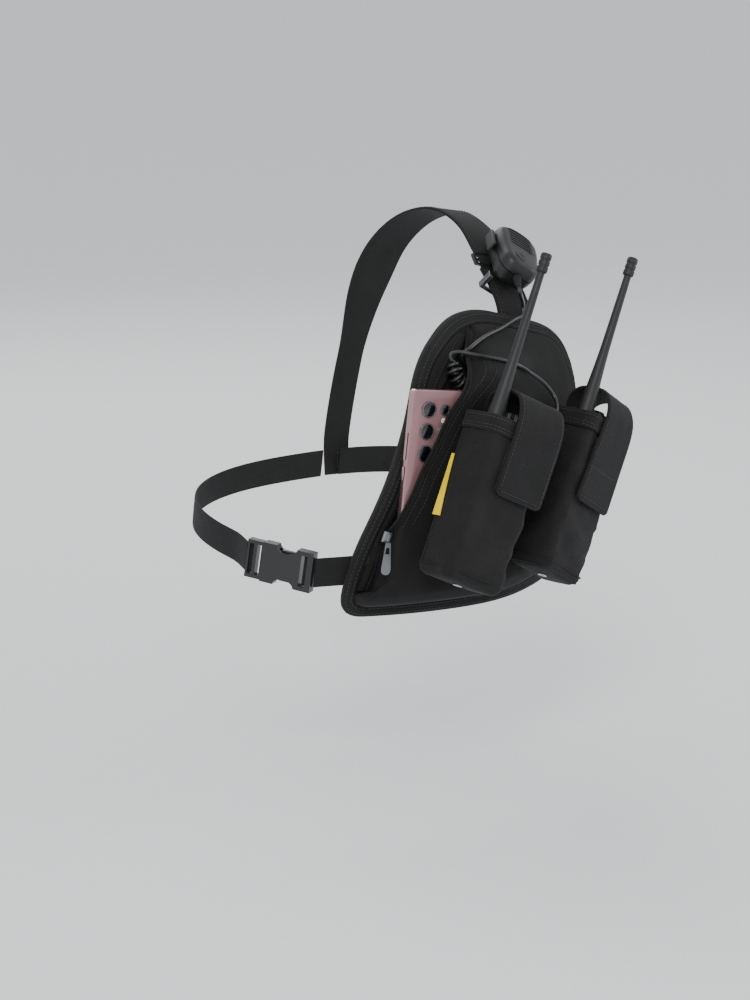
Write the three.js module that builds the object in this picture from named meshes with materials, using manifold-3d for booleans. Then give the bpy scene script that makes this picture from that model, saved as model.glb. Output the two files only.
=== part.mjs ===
// A one-shoulder chest harness for two handheld radios and a phone, as it sits on a torso.
// Millimetres. +Z is up, -Y is the wearer's front, +X is the wearer's left side.
// The origin is on the torso's axis, level with the belt where it leaves the panel.
import * as THREE from 'three';
import { mergeVertices } from 'three/addons/utils/BufferGeometryUtils.js';
import Module from 'manifold-3d';

const wasm = await Module();
wasm.setup();

// ---- driving dimensions ----
const GAP = 0.4; // air left between pieces that touch
const LAYER_GAP = 1; // air under a facetted sheet that lies on another
const SHEET = 1.6; // coated nylon with its lining
const CHEST_RADIUS = 285.6; // roundness of the chest at belt level
const CHEST_WIDENING = 0.85; // how much flatter the chest gets for each mm of height
const BREASTBONE = [[-96, -110], [-36, -115], [24, -121], [74, -123], [124, -116], [174, -98], [224, -66]];

const PANEL_BACK = 1; // height of the panel's back face above the chest
const PANEL_THICK = 5;
const PANEL_TOP = 198;
const PANEL_BOTTOM = -39;
const PANEL_LEFT = -124;
const PANEL_RIGHT = 137;
const BINDING_WIDTH = 10;
const BINDING_THICK = 1.2;

const ZIP_TAPE = 5;
const ZIP_THICK = 1.4;

const POUCH_BOTTOM = -80;
const POUCH_TOP = 55;
const HEM_HEIGHT = 14;
const FLAP_THICK = 2.2;
const FLAP_RISE = 24; // crest of the flap above the hem

const RADIO_WIDTH = 56;
const RADIO_DEPTH = 33;
const RADIO_HEIGHT = 128;
const RADIO_PLAY_WIDE = 4.8; // room across the radio inside its pouch
const RADIO_PLAY_DEEP = 3.8; // room in front of and behind it
const BATTERY_DEPTH = 13;
const POUCH_WIDTH = RADIO_WIDTH + 2 * SHEET + RADIO_PLAY_WIDE;
const POUCH_DEPTH = RADIO_DEPTH + 2 * SHEET + RADIO_PLAY_DEEP;
const BARE_FRONT = -20; // the pouch's front has nothing on it below this height
const ANTENNA_LENGTH = 142;
const ANTENNA_BOOT = 7.2; // radius at the foot
const ANTENNA_WHIP = 3.9; // radius above the boot
const KNOB_RADIUS = 6.6;
const KNOB_HEIGHT = 12;

const PHONE_WIDTH = 76;
const PHONE_HEIGHT = 160;
const PHONE_DEPTH = 8.9;
const LENS_PITCH = 17.8;

const MIC_WIDTH = 42;
const MIC_HEIGHT = 58;
const MIC_DEPTH = 26;
const CLIP_MOUTH = 13; // what the microphone's clip can close over

const CORD_RADIUS = 1.6;
const CURL_RADIUS = 7;

const WEBBING = 25; // belt and adjuster webbing
const WEBBING_THICK = 1.5;
const YOKE_WIDTH = 42;
const YOKE_THICK = 3;
const TORSO_WIDTH = 323;
const TORSO_DEPTH = 236;
const TORSO_SQUARENESS = 2.45;
const BELT_LIFT = 2;
const BELT_HEIGHT = 15; // belt height at the torso's side
const BELT_SLOPE = 0.165; // it rises towards the back
const JOIN_ANGLE = 194; // where the shoulder strap meets the belt
const BUCKLE_LENGTH = 58;
const BUCKLE_WIDTH = 33;
const BUCKLE_THICK = 9;

// ---- finishes ----
const finish = (color, roughness, metalness = 0) =>
  new THREE.MeshStandardMaterial({ color, roughness, metalness });
const NYLON = finish(0x1b1b1d, 0.9);
const BINDING = finish(0x202022, 0.85);
const WEB = finish(0x242426, 0.85);
const PLASTIC = finish(0x17181a, 0.5);
const RUBBER = finish(0x1a1b1d, 0.65);
const STEEL = finish(0xb8bcc0, 0.3, 1);
const DARK_METAL = finish(0x3a3c40, 0.35, 0.9);
const ROSE = finish(0xc79aa0, 0.35, 0.4);
const GLASS = finish(0x0b0d10, 0.08);
const YELLOW = finish(0xe8c21c, 0.8);

const harness = new THREE.Group();
const vec = (x, y, z) => new THREE.Vector3(x, y, z);
const lerp = THREE.MathUtils.lerp;
const rad = THREE.MathUtils.degToRad;

function piece(name, geometry, material, parent = harness) {
  const mesh = new THREE.Mesh(geometry, material);
  mesh.name = name;
  parent.add(mesh);
  return mesh;
}

// ---- shape helpers ----
function fromFaces(points, faces) {
  let volume = 0;
  for (const [a, b, c] of faces) {
    volume += points[a].dot(points[b].clone().cross(points[c]));
  }
  const outward = volume > 0 ? faces : faces.map(([a, b, c]) => [a, c, b]);
  const geometry = new THREE.BufferGeometry();
  const numbers = points.flatMap((p) => [p.x, p.y, p.z]);
  geometry.setAttribute('position', new THREE.Float32BufferAttribute(numbers, 3));
  geometry.setIndex(outward.flat());
  return geometry;
}

// A skin over rings of points that all have the same count. Open ends get a fan.
function loft(rings, closed = false) {
  const count = rings[0].length;
  const points = rings.flat();
  const faces = [];
  const spans = closed ? rings.length : rings.length - 1;
  for (let r = 0; r < spans; r += 1) {
    const next = (r + 1) % rings.length;
    for (let i = 0; i < count; i += 1) {
      const j = (i + 1) % count;
      faces.push([r * count + i, r * count + j, next * count + j]);
      faces.push([r * count + i, next * count + j, next * count + i]);
    }
  }
  if (!closed) {
    for (const r of [0, rings.length - 1]) {
      const middle = rings[r].reduce((sum, p) => sum.add(p), vec(0, 0, 0)).divideScalar(count);
      const hub = points.push(middle) - 1;
      for (let i = 0; i < count; i += 1) {
        const j = (i + 1) % count;
        const fan = [r * count + i, hub, r * count + j];
        faces.push(r === 0 ? fan : fan.reverse());
      }
    }
  }
  return fromFaces(points, faces);
}

// A flat strap that follows a path, with its own width direction at each point.
function strap(path, across, facing, widths, thickness) {
  const rings = path.map((p, i) => {
    const [left, right] = widths(i / (path.length - 1));
    const corner = (w, t) => p.clone().addScaledVector(across[i], w).addScaledVector(facing[i], t);
    return [corner(left, 0), corner(right, 0), corner(right, thickness), corner(left, thickness)];
  });
  return loft(rings);
}

function block(x, y, z, centre = [0, 0, 0]) {
  return new THREE.BoxGeometry(x, y, z).translate(...centre);
}

// A box with rounded upright edges, from z = low to z = high.
function roundedBlock(x, y, radius, low, high, centreX = 0, centreY = 0, steps = 3) {
  return loft([low, high].map((z) => roundedRing(x, y, radius, z, centreX, centreY, steps)));
}

function roundedRing(x, y, radius, z, centreX = 0, centreY = 0, steps = 3) {
  const ring = [];
  const corners = [[1, 1, 0], [-1, 1, 90], [-1, -1, 180], [1, -1, 270]];
  for (const [sx, sy, start] of corners) {
    for (let i = 0; i <= steps; i += 1) {
      const angle = rad(start + (90 * i) / steps);
      const px = centreX + sx * (x / 2 - radius) + radius * Math.cos(angle);
      const py = centreY + sy * (y / 2 - radius) + radius * Math.sin(angle);
      ring.push(vec(px, py, z));
    }
  }
  return ring;
}

function turned(profile, sides = 12) {
  const points = profile.map(([r, z]) => new THREE.Vector2(r, z));
  const lathe = new THREE.LatheGeometry(points, sides);
  return lathe.rotateX(Math.PI / 2);
}

function toSolid(geometry) {
  const bare = geometry.clone();
  bare.deleteAttribute('normal');
  bare.deleteAttribute('uv');
  const merged = mergeVertices(bare, 1e-4);
  const mesh = new wasm.Mesh({
    numProp: 3,
    vertProperties: new Float32Array(merged.attributes.position.array),
    triVerts: new Uint32Array(merged.index.array),
  });
  return new wasm.Manifold(mesh);
}

function toGeometry(solid) {
  const mesh = solid.getMesh();
  const geometry = new THREE.BufferGeometry();
  geometry.setAttribute('position', new THREE.Float32BufferAttribute(mesh.vertProperties, 3));
  geometry.setIndex(Array.from(mesh.triVerts));
  return geometry;
}

function cut(body, ...tools) {
  return toGeometry(tools.reduce((left, tool) => left.subtract(toSolid(tool)), toSolid(body)));
}

function join(...bodies) {
  return toGeometry(bodies.map(toSolid).reduce((all, body) => all.add(body)));
}

function tube(points, radius, steps, sides = 8) {
  const outline = new THREE.Shape();
  outline.absarc(0, 0, radius, 0, 2 * Math.PI);
  const ring = new THREE.Shape(outline.getSpacedPoints(sides).slice(0, sides));
  const path = new THREE.CatmullRomCurve3(points, false, 'centripetal');
  return new THREE.ExtrudeGeometry(ring, { steps, extrudePath: path, bevelEnabled: false });
}

// ---- the chest that the panel lies on ----
const breastbone = new THREE.SplineCurve(BREASTBONE.map(([z, y]) => new THREE.Vector2(z, y)));

function breastboneAt(z) {
  const last = BREASTBONE.length - 1;
  const step = BREASTBONE[1][0] - BREASTBONE[0][0];
  let t = THREE.MathUtils.clamp((z - BREASTBONE[0][0]) / (step * last), 0, 1);
  for (let i = 0; i < 6; i += 1) {
    const error = z - breastbone.getPoint(t).x;
    t = THREE.MathUtils.clamp(t + error / (step * last), 0, 1);
  }
  return breastbone.getPoint(t).y;
}

// u runs round the chest from the breastbone, z is height, lift is height above the skin.
function onChest(u, z, lift) {
  const radius = CHEST_RADIUS + CHEST_WIDENING * z;
  const angle = u / radius;
  const y = breastboneAt(z) + radius - (radius + lift) * Math.cos(angle);
  return vec((radius + lift) * Math.sin(angle), y, z);
}

// ---- outlines on the chest ----
function roundedOutline(corners, count) {
  const shape = new THREE.Shape();
  const total = corners.length;
  corners.forEach(([u, z, round], i) => {
    const at = new THREE.Vector2(u, z);
    const before = new THREE.Vector2(...corners[(i + total - 1) % total].slice(0, 2));
    const after = new THREE.Vector2(...corners[(i + 1) % total].slice(0, 2));
    const enter = before.sub(at).setLength(round).add(at);
    const leave = after.sub(at).setLength(round).add(at);
    if (i === 0) {
      shape.moveTo(enter.x, enter.y);
    } else {
      shape.lineTo(enter.x, enter.y);
    }
    shape.quadraticCurveTo(at.x, at.y, leave.x, leave.y);
  });
  shape.closePath();
  return shape.getSpacedPoints(count).slice(0, count);
}

// Moves each point of a closed outline sideways: positive distances go outwards.
function offsetOutline(outline, distance) {
  const sign = THREE.ShapeUtils.isClockWise(outline) ? -1 : 1;
  return outline.map((p, i) => {
    const before = outline[(i + outline.length - 1) % outline.length];
    const after = outline[(i + 1) % outline.length];
    const along = after.clone().sub(before).normalize();
    return new THREE.Vector2(p.x + sign * along.y * distance, p.y - sign * along.x * distance);
  });
}

// A sheet inside an outline, made of rings that shrink towards a centre.
// faces(u, z, f, i) gives its lower and upper height; f is 1 on the outline and 0 at the centre.
function sheetOnChest(outline, centre, ringCount, faces) {
  const low = [];
  const high = [];
  const shares = [1, 0.95, 0.9];
  for (let r = ringCount - 1; r >= 1; r -= 1) {
    shares.push((0.82 * r) / (ringCount - 1));
  }
  for (const f of shares) {
    const at = (side) => outline.map((p, i) => {
      const u = lerp(centre[0], p.x, f);
      const z = lerp(centre[1], p.y, f);
      return onChest(u, z, faces(u, z, f, i)[side]);
    });
    low.push(at(0));
    high.push(at(1));
  }
  return loft([...low.reverse(), ...high]);
}

const PANEL_CORNERS = [
  [PANEL_LEFT, PANEL_BOTTOM, 22],
  [PANEL_LEFT + 6, 10, 26],
  [-50, 165, 26],
  [-8, PANEL_TOP - 4, 22],
  [28, PANEL_TOP + 1, 18],
  [122, PANEL_TOP - 24, 32],
  [PANEL_RIGHT, 128, 30],
  [112, PANEL_BOTTOM + 2, 26],
  [40, PANEL_BOTTOM - 5, 34],
];
const panelOutline = roundedOutline(PANEL_CORNERS, 52);
const panelFront = PANEL_BACK + PANEL_THICK;
const coverBase = panelFront + LAYER_GAP;

function backPanel() {
  const outline = offsetOutline(panelOutline, -BINDING_THICK - GAP);
  const geometry = sheetOnChest(outline, [5, 72], 4, () => [PANEL_BACK, panelFront]);
  piece('back_panel', geometry, NYLON);
}

function edgeBinding() {
  const inner = -BINDING_WIDTH;
  const inside = -BINDING_THICK;
  const section = [
    [inner, PANEL_BACK - GAP],
    [inside, PANEL_BACK - GAP],
    [inside, panelFront + GAP],
    [inner, panelFront + GAP],
    [inner, panelFront + GAP + BINDING_THICK],
    [0, panelFront + GAP + BINDING_THICK],
    [0, PANEL_BACK - GAP - BINDING_THICK],
    [inner, PANEL_BACK - GAP - BINDING_THICK],
  ];
  const loops = section.map(([away]) => offsetOutline(panelOutline, away));
  const rings = panelOutline.map((_, i) => section.map(([, lift], k) => {
    const p = loops[k][i];
    return onChest(p.x, p.y, lift);
  }));
  piece('edge_binding', loft(rings, true), BINDING);
}

// ---- the zipped pocket ----
// The free edge of the pocket front, where the zip's right half runs: u, z and height.
const ZIP_EDGE = [
  [10, 184, 8.8],
  [-5, 168, 14],
  [-18, 154.5, PHONE_DEPTH + 19.1],
  [-30, 142.5, PHONE_DEPTH + 24.5],
  [-43, 125.5, PHONE_DEPTH + 19.1],
  [-56, 103, PHONE_DEPTH + 15.6],
  [-68, 82, PHONE_DEPTH + 13.1],
  [-77, 62, PHONE_DEPTH + 12.3],
  [-86.5, 45, PHONE_DEPTH + 12.6],
  [-91.8, 32, 14],
  [-94.5, 18, 8.8],
  [-98, -2, 8.8],
  [-102, -16, 8.8],
];
const zipCurve = new THREE.CatmullRomCurve3(ZIP_EDGE.map((p) => vec(...p)), false, 'centripetal');
// The middle of the zip's other half, which stays flat on the panel.
const FLAT_HALF = [
  [3, 181], [-16.5, 162.5], [-39.4, 138.5], [-59.4, 107.5], [-75, 76.5], [-85.4, 49.8],
  [-93.8, 32], [-98.6, 18], [-103.6, -2], [-107.6, -16],
];
const flatCurve = new THREE.SplineCurve(FLAT_HALF.map((p) => new THREE.Vector2(...p)));
// Height of the pocket front above the phone's screen side, from bottom to top.
const POCKET_HEIGHTS = [
  [PANEL_BOTTOM - 21, -0.9], [-17, 17.7], [20, 12.5], [50, 10.3],
  [80, 10.5], [110, 14.3], [130, 19.5], [150, 26.1], [157, 25.6], [175, 4.1], [PANEL_TOP + 2, -0.9],
];
const coverOutline = offsetOutline(panelOutline, -BINDING_WIDTH - GAP);

function nearest(outline, target) {
  const gaps = outline.map((p) => p.distanceTo(target));
  return gaps.indexOf(Math.min(...gaps));
}

// The part of the cover outline that runs from one point to another, in its own order.
function stretch(outline, from, to) {
  const points = [];
  for (let i = from; ; i = (i + 1) % outline.length) {
    points.push(outline[i]);
    if (i === to) {
      return points;
    }
  }
}

const coverIsClockwise = THREE.ShapeUtils.isClockWise(coverOutline);
const coverLoop = coverIsClockwise ? coverOutline : [...coverOutline].reverse();

function closestOn(outline, target) {
  const spots = outline.map((a, i) => {
    const b = outline[(i + 1) % outline.length];
    const along = b.clone().sub(a);
    const t = THREE.MathUtils.clamp(target.clone().sub(a).dot(along) / along.lengthSq(), 0, 1);
    return a.clone().addScaledVector(along, t);
  });
  return spots.sort((a, b) => a.distanceTo(target) - b.distanceTo(target))[0];
}

function zipSideStrip() {
  const reach = ZIP_TAPE / 2 + GAP;
  const wide = (p) => closestOn(coverOutline, p).distanceTo(p) > reach + 2;
  const rings = flatCurve.getSpacedPoints(22).filter(wide).map((p) => {
    const outer = closestOn(coverOutline, p);
    const inner = p.clone().add(outer.clone().sub(p).setLength(reach));
    const at = (q, lift) => onChest(q.x, q.y, lift);
    const top = coverBase + SHEET;
    return [at(outer, coverBase), at(inner, coverBase), at(inner, top), at(outer, top)];
  });
  piece('zip_side_strip', loft(rings), NYLON);
}

// The pocket front stays flat over the phone while the chest falls away, and sinks beside it.
function pocketLift(u, z) {
  const next = POCKET_HEIGHTS.findIndex(([height]) => height > z);
  const [lowZ, low] = POCKET_HEIGHTS[next - 1];
  const [highZ, high] = POCKET_HEIGHTS[next];
  const flatPhone = Math.min((u + 45) ** 2, 1500) / 800;
  const full = lerp(low, high, (z - lowZ) / (highZ - lowZ)) + PHONE_DEPTH + flatPhone;
  const beside = Math.max(u + 1, 0) / 58;
  return lerp(coverBase, full, Math.exp(-(beside ** 2)));
}

function pocketFront() {
  const zip = zipCurve.getSpacedPoints(26);
  const seam = zip.map((p, i) => {
    const before = zip[Math.max(i - 1, 0)];
    const after = zip[Math.min(i + 1, zip.length - 1)];
    const along = new THREE.Vector2(after.x - before.x, after.y - before.y).setLength(ZIP_TAPE / 2 + 2 * GAP);
    return new THREE.Vector2(p.x - along.y, p.y + along.x);
  });
  const total = coverLoop.length;
  const first = (nearest(coverLoop, seam[0]) + 1) % total;
  const last = (nearest(coverLoop, seam[26]) + total - 1) % total;
  const around = stretch(coverLoop, first, last);
  const outline = [...around, ...[...seam].reverse()];
  const edge = [...around.map(() => coverBase), ...zip.map((p) => p.z - ZIP_THICK).reverse()];
  const faces = (u, z, f, i) => {
    const lift = lerp(pocketLift(u, z), edge[i], f ** 60);
    return [lift, lift + SHEET];
  };
  piece('pocket_front', sheetOnChest(outline, [0, 72], 6, faces), NYLON);
}

// A narrow tape that follows a list of points on the chest, to one side of them.
function chestTape(points, left, right, below, above) {
  const rings = points.map((p, i) => {
    const before = points[Math.max(i - 1, 0)];
    const after = points[Math.min(i + 1, points.length - 1)];
    const along = new THREE.Vector2(after.x - before.x, after.y - before.y).normalize();
    const at = (side, lift) => onChest(p.x - along.y * side, p.y + along.x * side, p.z + lift);
    return [at(left, below), at(right, below), at(right, above), at(left, above)];
  });
  return loft(rings);
}

function zipHalves() {
  const right = zipCurve.getSpacedPoints(30);
  piece('zip_half_right', chestTape(right, -ZIP_TAPE / 2, ZIP_TAPE / 2, 0.4, ZIP_THICK), WEB);
  const left = flatCurve.getSpacedPoints(26).map((p) => vec(p.x, p.y, coverBase));
  piece('zip_half_left', chestTape(left, -ZIP_TAPE / 2, ZIP_TAPE / 2, 0, ZIP_THICK), WEB);
}

// A group whose own axes are: x across, -y outwards, z along the length of what it holds.
function standing(origin, yaw, tilt, lean, parent = harness) {
  const group = new THREE.Group();
  group.rotation.set(rad(lean), rad(tilt), rad(yaw), 'ZXY');
  group.position.copy(origin);
  parent.add(group);
  return group;
}

// ---- the zip slider and its pull, at the foot of the opening ----
const SLIDER_AT = 0.8; // share of the zip's length
const SLIDER_LENGTH = 9;
const PULL_LENGTH = 26;

function zipSlider() {
  const p = zipCurve.getPointAt(SLIDER_AT);
  const seat = standing(onChest(p.x - 2, p.y, p.z + ZIP_THICK + 2.6), -17, 20, 0);
  const low = roundedBlock(8, 3, 1.2, -SLIDER_LENGTH / 2, SLIDER_LENGTH / 2, 0, -1.5);
  const bridge = block(2.4, 2.4, 6, [0, -4, 0]);
  piece('zip_slider', join(low, bridge), DARK_METAL, seat);
  const outline = new THREE.Shape();
  outline.moveTo(-2.2, 0);
  outline.lineTo(-4.2, -PULL_LENGTH + 5);
  outline.quadraticCurveTo(-4, -PULL_LENGTH, 0, -PULL_LENGTH);
  outline.quadraticCurveTo(4, -PULL_LENGTH, 4.2, -PULL_LENGTH + 5);
  outline.lineTo(2.2, 0);
  const slot = new THREE.Path();
  slot.moveTo(-1.4, -4);
  slot.lineTo(-2, -9);
  slot.lineTo(2, -9);
  slot.lineTo(1.4, -4);
  outline.holes.push(slot);
  const plate = new THREE.ExtrudeGeometry(outline, { depth: 1.6, bevelEnabled: false, curveSegments: 4 });
  plate.rotateX(Math.PI / 2);
  const hang = standing(vec(0, -5.8, -3.6), 0, -12, -4, seat);
  piece('zip_pull', plate, DARK_METAL, hang);
}

// ---- radio pouches ----
const LEFT_POUCH = { side: 'left', u: -28, z: 67.3, lift: 28, yaw: -1.3, tilt: 25, lean: -2.4 };
const RIGHT_POUCH = { side: 'right', u: 67, z: 57.5, lift: 20, yaw: 14.3, tilt: 27.4, lean: 2.8 };
LEFT_POUCH.flap = { left: -12.8, right: 38.4, crestLeft: -12, foot: -5 };
RIGHT_POUCH.flap = { left: -25, right: 30.6, crestLeft: -9.5, foot: -17 };

function pouchBody(spot, group) {
  const ring = (z, inset, round) =>
    roundedRing(POUCH_WIDTH - 2 * inset, POUCH_DEPTH - 2 * inset, round, z, 0, -POUCH_DEPTH / 2);
  const outside = [
    ring(POUCH_BOTTOM, 5, 4),
    ring(POUCH_BOTTOM + 5, 0, 8),
    ring(BARE_FRONT, 0, 8),
    ring(POUCH_TOP, 0, 8),
  ];
  const inside = [
    ring(POUCH_TOP, SHEET, 7),
    ring(BARE_FRONT, SHEET, 7),
    ring(POUCH_BOTTOM + 5, SHEET, 7),
    ring(POUCH_BOTTOM + SHEET, 5, 4),
  ];
  piece(`${spot.side}_pouch`, loft([...outside, ...inside]), NYLON, group);
}

function pouchTrim(spot, group) {
  const front = -POUCH_DEPTH - GAP;
  const patchHeight = POUCH_TOP - HEM_HEIGHT - GAP - spot.flap.foot - 6;
  const patchMiddle = spot.flap.foot + 3 + patchHeight / 2;
  const middle = (Math.max(spot.flap.left, -23) + Math.min(spot.flap.right, 23)) / 2;
  const patch = block(34, 1, patchHeight, [middle, front - 0.5, patchMiddle]);
  piece(`${spot.side}_loop_patch`, patch, BINDING, group);
  const grow = 2 * (GAP + 1);
  const hem = (x) => roundedRing(POUCH_WIDTH + x, POUCH_DEPTH + x, 8 + x / 2, 0, 0, -POUCH_DEPTH / 2);
  const at = (ring, z) => ring.map((p) => vec(p.x, p.y, z));
  const bottom = POUCH_TOP - HEM_HEIGHT;
  const rings = [
    at(hem(2 * GAP), bottom),
    at(hem(grow), bottom),
    at(hem(grow), POUCH_TOP),
    at(hem(2 * GAP), POUCH_TOP),
  ];
  piece(`${spot.side}_pouch_hem`, loft(rings, true), NYLON, group);
  const eyelet = turned([[2.2, 0], [4, 0], [4, 0.9], [2.2, 0.9], [2.2, 0]]);
  eyelet.translate(0, -POUCH_DEPTH / 2, POUCH_BOTTOM - GAP - 0.9);
  piece(`${spot.side}_drain_eyelet`, eyelet, STEEL, group);
}

// The flap is sewn to the pouch's back edge, arches over the radio and hangs down the front.
function pouchFlap(spot, group) {
  const crest = POUCH_TOP + FLAP_RISE;
  const front = -POUCH_DEPTH - GAP - 1 - 2 * GAP;
  const line = [
    [-0.4, POUCH_TOP + GAP], [-2, crest - 8], [-9, crest - 1.5], [-22, crest], [-34, crest - 3],
    [front + 1.5, crest - 12], [front - 0.8, POUCH_TOP + 1], [front - 0.8, 20], [front, spot.flap.foot],
  ];
  const share = [0, 0, 0, 0.1, 0.5, 0.85, 1, 1, 1];
  const path = line.map(([y, z]) => vec(0, y, z));
  const facing = path.map((p, i) => {
    const before = path[Math.max(i - 1, 0)];
    const after = path[Math.min(i + 1, path.length - 1)];
    const along = after.clone().sub(before).normalize();
    return vec(0, -along.z, along.y).multiplyScalar(-1);
  });
  const across = path.map(() => vec(1, 0, 0));
  const widths = (t) => {
    const k = share[Math.round(t * (share.length - 1))];
    return [lerp(spot.flap.crestLeft, spot.flap.left, k), spot.flap.right];
  };
  piece(`${spot.side}_flap`, strap(path, across, facing, widths, FLAP_THICK), NYLON, group);
}

// ---- handheld radios ----
function radio(spot, group) {
  const floor = POUCH_BOTTOM + SHEET + GAP;
  const top = floor + RADIO_HEIGHT;
  const back = -SHEET - 1;
  const caseDepth = RADIO_DEPTH - BATTERY_DEPTH - GAP;
  const caseY = back - BATTERY_DEPTH - GAP - caseDepth / 2;
  const slim = (z, trim) => roundedRing(RADIO_WIDTH - trim, caseDepth - trim, 4, z, 0, caseY);
  const shell = [slim(floor, 6), slim(floor + 4, 0), slim(top - 3, 0), slim(top, 5)];
  const recess = block(4.2, 7, 26, [-RADIO_WIDTH / 2 + 0.9, caseY, top - 50]);
  piece(`${spot.side}_radio_case`, cut(loft(shell), recess), PLASTIC, group);
  const pack = roundedBlock(RADIO_WIDTH - 2, BATTERY_DEPTH, 3, floor + 4, top - 18, 0, back - BATTERY_DEPTH / 2);
  piece(`${spot.side}_radio_battery`, pack, PLASTIC, group);
  const key = block(2, 6, 24, [-RADIO_WIDTH / 2 + 0.6, caseY, top - 50]);
  piece(`${spot.side}_radio_ptt_key`, key, RUBBER, group);
  const foot = top + GAP;
  jack.y = caseY;
  jack.z = top;
  const antenna = turned([
    [0, 0], [ANTENNA_BOOT, 0], [ANTENNA_BOOT, 8], [ANTENNA_WHIP + 1.2, 34], [ANTENNA_WHIP, 60],
    [ANTENNA_WHIP - 0.9, ANTENNA_LENGTH - 16], [4.6, ANTENNA_LENGTH - 15], [4.6, ANTENNA_LENGTH - 1],
    [3.8, ANTENNA_LENGTH], [0, ANTENNA_LENGTH],
  ]);
  antenna.translate(-RADIO_WIDTH / 2 + ANTENNA_BOOT, caseY + 0.6, foot);
  piece(`${spot.side}_radio_antenna`, antenna, RUBBER, group);
  const knob = new THREE.CylinderGeometry(KNOB_RADIUS, KNOB_RADIUS - 0.6, KNOB_HEIGHT, 12).rotateX(-Math.PI / 2);
  for (const [name, x] of [['channel_knob', -3], ['volume_knob', 11.6]]) {
    const placed = knob.clone().translate(x, caseY, foot + KNOB_HEIGHT / 2);
    piece(`${spot.side}_radio_${name}`, placed, PLASTIC, group);
  }
}

const seats = {};
const jack = { x: 22.6, y: 0, z: 0 }; // the left radio's accessory socket, in its pouch's own frame
for (const spot of [LEFT_POUCH, RIGHT_POUCH]) {
  const group = standing(onChest(spot.u, spot.z, spot.lift), spot.yaw, spot.tilt, spot.lean);
  seats[spot.side] = group;
  pouchBody(spot, group);
  pouchTrim(spot, group);
  pouchFlap(spot, group);
  radio(spot, group);
}

// ---- the phone in the pocket; its camera side faces out ----
const PHONE_SPOT = vec(-46, -128.2, 64.8);

function phone() {
  const group = standing(PHONE_SPOT, -9, 6.5, 0);
  const frame = roundedRing(PHONE_WIDTH, PHONE_HEIGHT, 3, 0);
  const upright = (ring, y) => ring.map((p) => vec(p.x, y, p.y));
  const trim = roundedRing(PHONE_WIDTH - 3, PHONE_HEIGHT - 1, 2.5, 0);
  const bodyRings = [upright(trim, -1), upright(frame, -2.4), upright(frame, -6.8), upright(trim, -PHONE_DEPTH)];
  piece('phone_body', loft(bodyRings), ROSE, group);
  piece('phone_screen', block(PHONE_WIDTH - 5, 0.6, PHONE_HEIGHT - 3, [0, -0.3, 0]), GLASS, group);
  const bigX = -PHONE_WIDTH / 2 + 15;
  const smallX = bigX + 15;
  const topZ = PHONE_HEIGHT / 2 - 15.5;
  const lenses = [
    [bigX, topZ, 6.6], [bigX, topZ - LENS_PITCH, 6.6], [bigX, topZ - 2 * LENS_PITCH, 6.6],
    [smallX, topZ, 4.4], [smallX, topZ - LENS_PITCH, 4.4],
  ];
  lenses.forEach(([x, z, radius], i) => {
    const lens = new THREE.CylinderGeometry(radius, radius, 1.3, 14);
    lens.translate(x, -PHONE_DEPTH - GAP - 0.65, z);
    piece(`phone_lens_${i + 1}`, lens, GLASS, group);
  });
  const keyX = -PHONE_WIDTH / 2 - GAP - 0.3;
  piece('phone_volume_key', block(0.6, 2.6, 22, [keyX, -4.6, 34]), ROSE, group);
  piece('phone_power_key', block(0.6, 2.6, 11, [keyX, -4.6, 12]), ROSE, group);
  return group;
}

// ---- the speaker microphone, clipped across the shoulder yoke ----
const MIC_CENTRE = vec(86, -70, 232);
const MIC_ACROSS = vec(0.8, -0.283, -0.534).normalize();
const MIC_OUT = vec(0.279, -0.612, 0.743);

function microphone() {
  const group = new THREE.Group();
  const out = MIC_OUT.clone().addScaledVector(MIC_ACROSS, -MIC_OUT.dot(MIC_ACROSS)).normalize();
  const up = out.clone().cross(MIC_ACROSS);
  const basis = new THREE.Matrix4().makeBasis(MIC_ACROSS, out.clone().negate(), up);
  group.quaternion.setFromRotationMatrix(basis);
  group.position.copy(MIC_CENTRE);
  harness.add(group);
  const ring = (y, trim, round) => roundedRing(MIC_WIDTH - trim, MIC_HEIGHT - trim, round, 0, 0, 0, 4)
    .map((p) => vec(p.x * (p.y < 0 ? 0.86 : 1), y, p.y));
  const front = MIC_DEPTH / 2;
  const seam = -2;
  piece('mic_front_shell', loft([ring(-front, 9, 9), ring(-front + 3, 2, 11), ring(seam, 0, 12)]), PLASTIC, group);
  const rear = [ring(seam + GAP, 0, 12), ring(front - 6, 3, 11), ring(front - 2, 10, 8)];
  piece('mic_rear_shell', loft(rear), PLASTIC, group);
  piece('mic_ptt_button', block(3, 10, 22, [-MIC_WIDTH / 2 - 2.2, -1, 8]), RUBBER, group);
  const clipY = front - 2 + GAP;
  const arm = block(30, 1.6, 7, [-3.2, clipY + CLIP_MOUTH + 0.8, -22]);
  const root = block(3.4, CLIP_MOUTH + 1.6, 7, [-16.5, clipY + (CLIP_MOUTH + 1.6) / 2, -22]);
  piece('mic_clip', join(arm, root), STEEL, group);
  const boot = turned([[0, 0], [3.9, 0], [2.9, 10], [2.3, 15], [0, 15]]).rotateX(Math.PI);
  boot.translate(0, -1, -MIC_HEIGHT / 2 - GAP);
  piece('mic_cord_boot', boot, RUBBER, group);
  group.updateMatrixWorld(true);
  return group;
}

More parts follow.
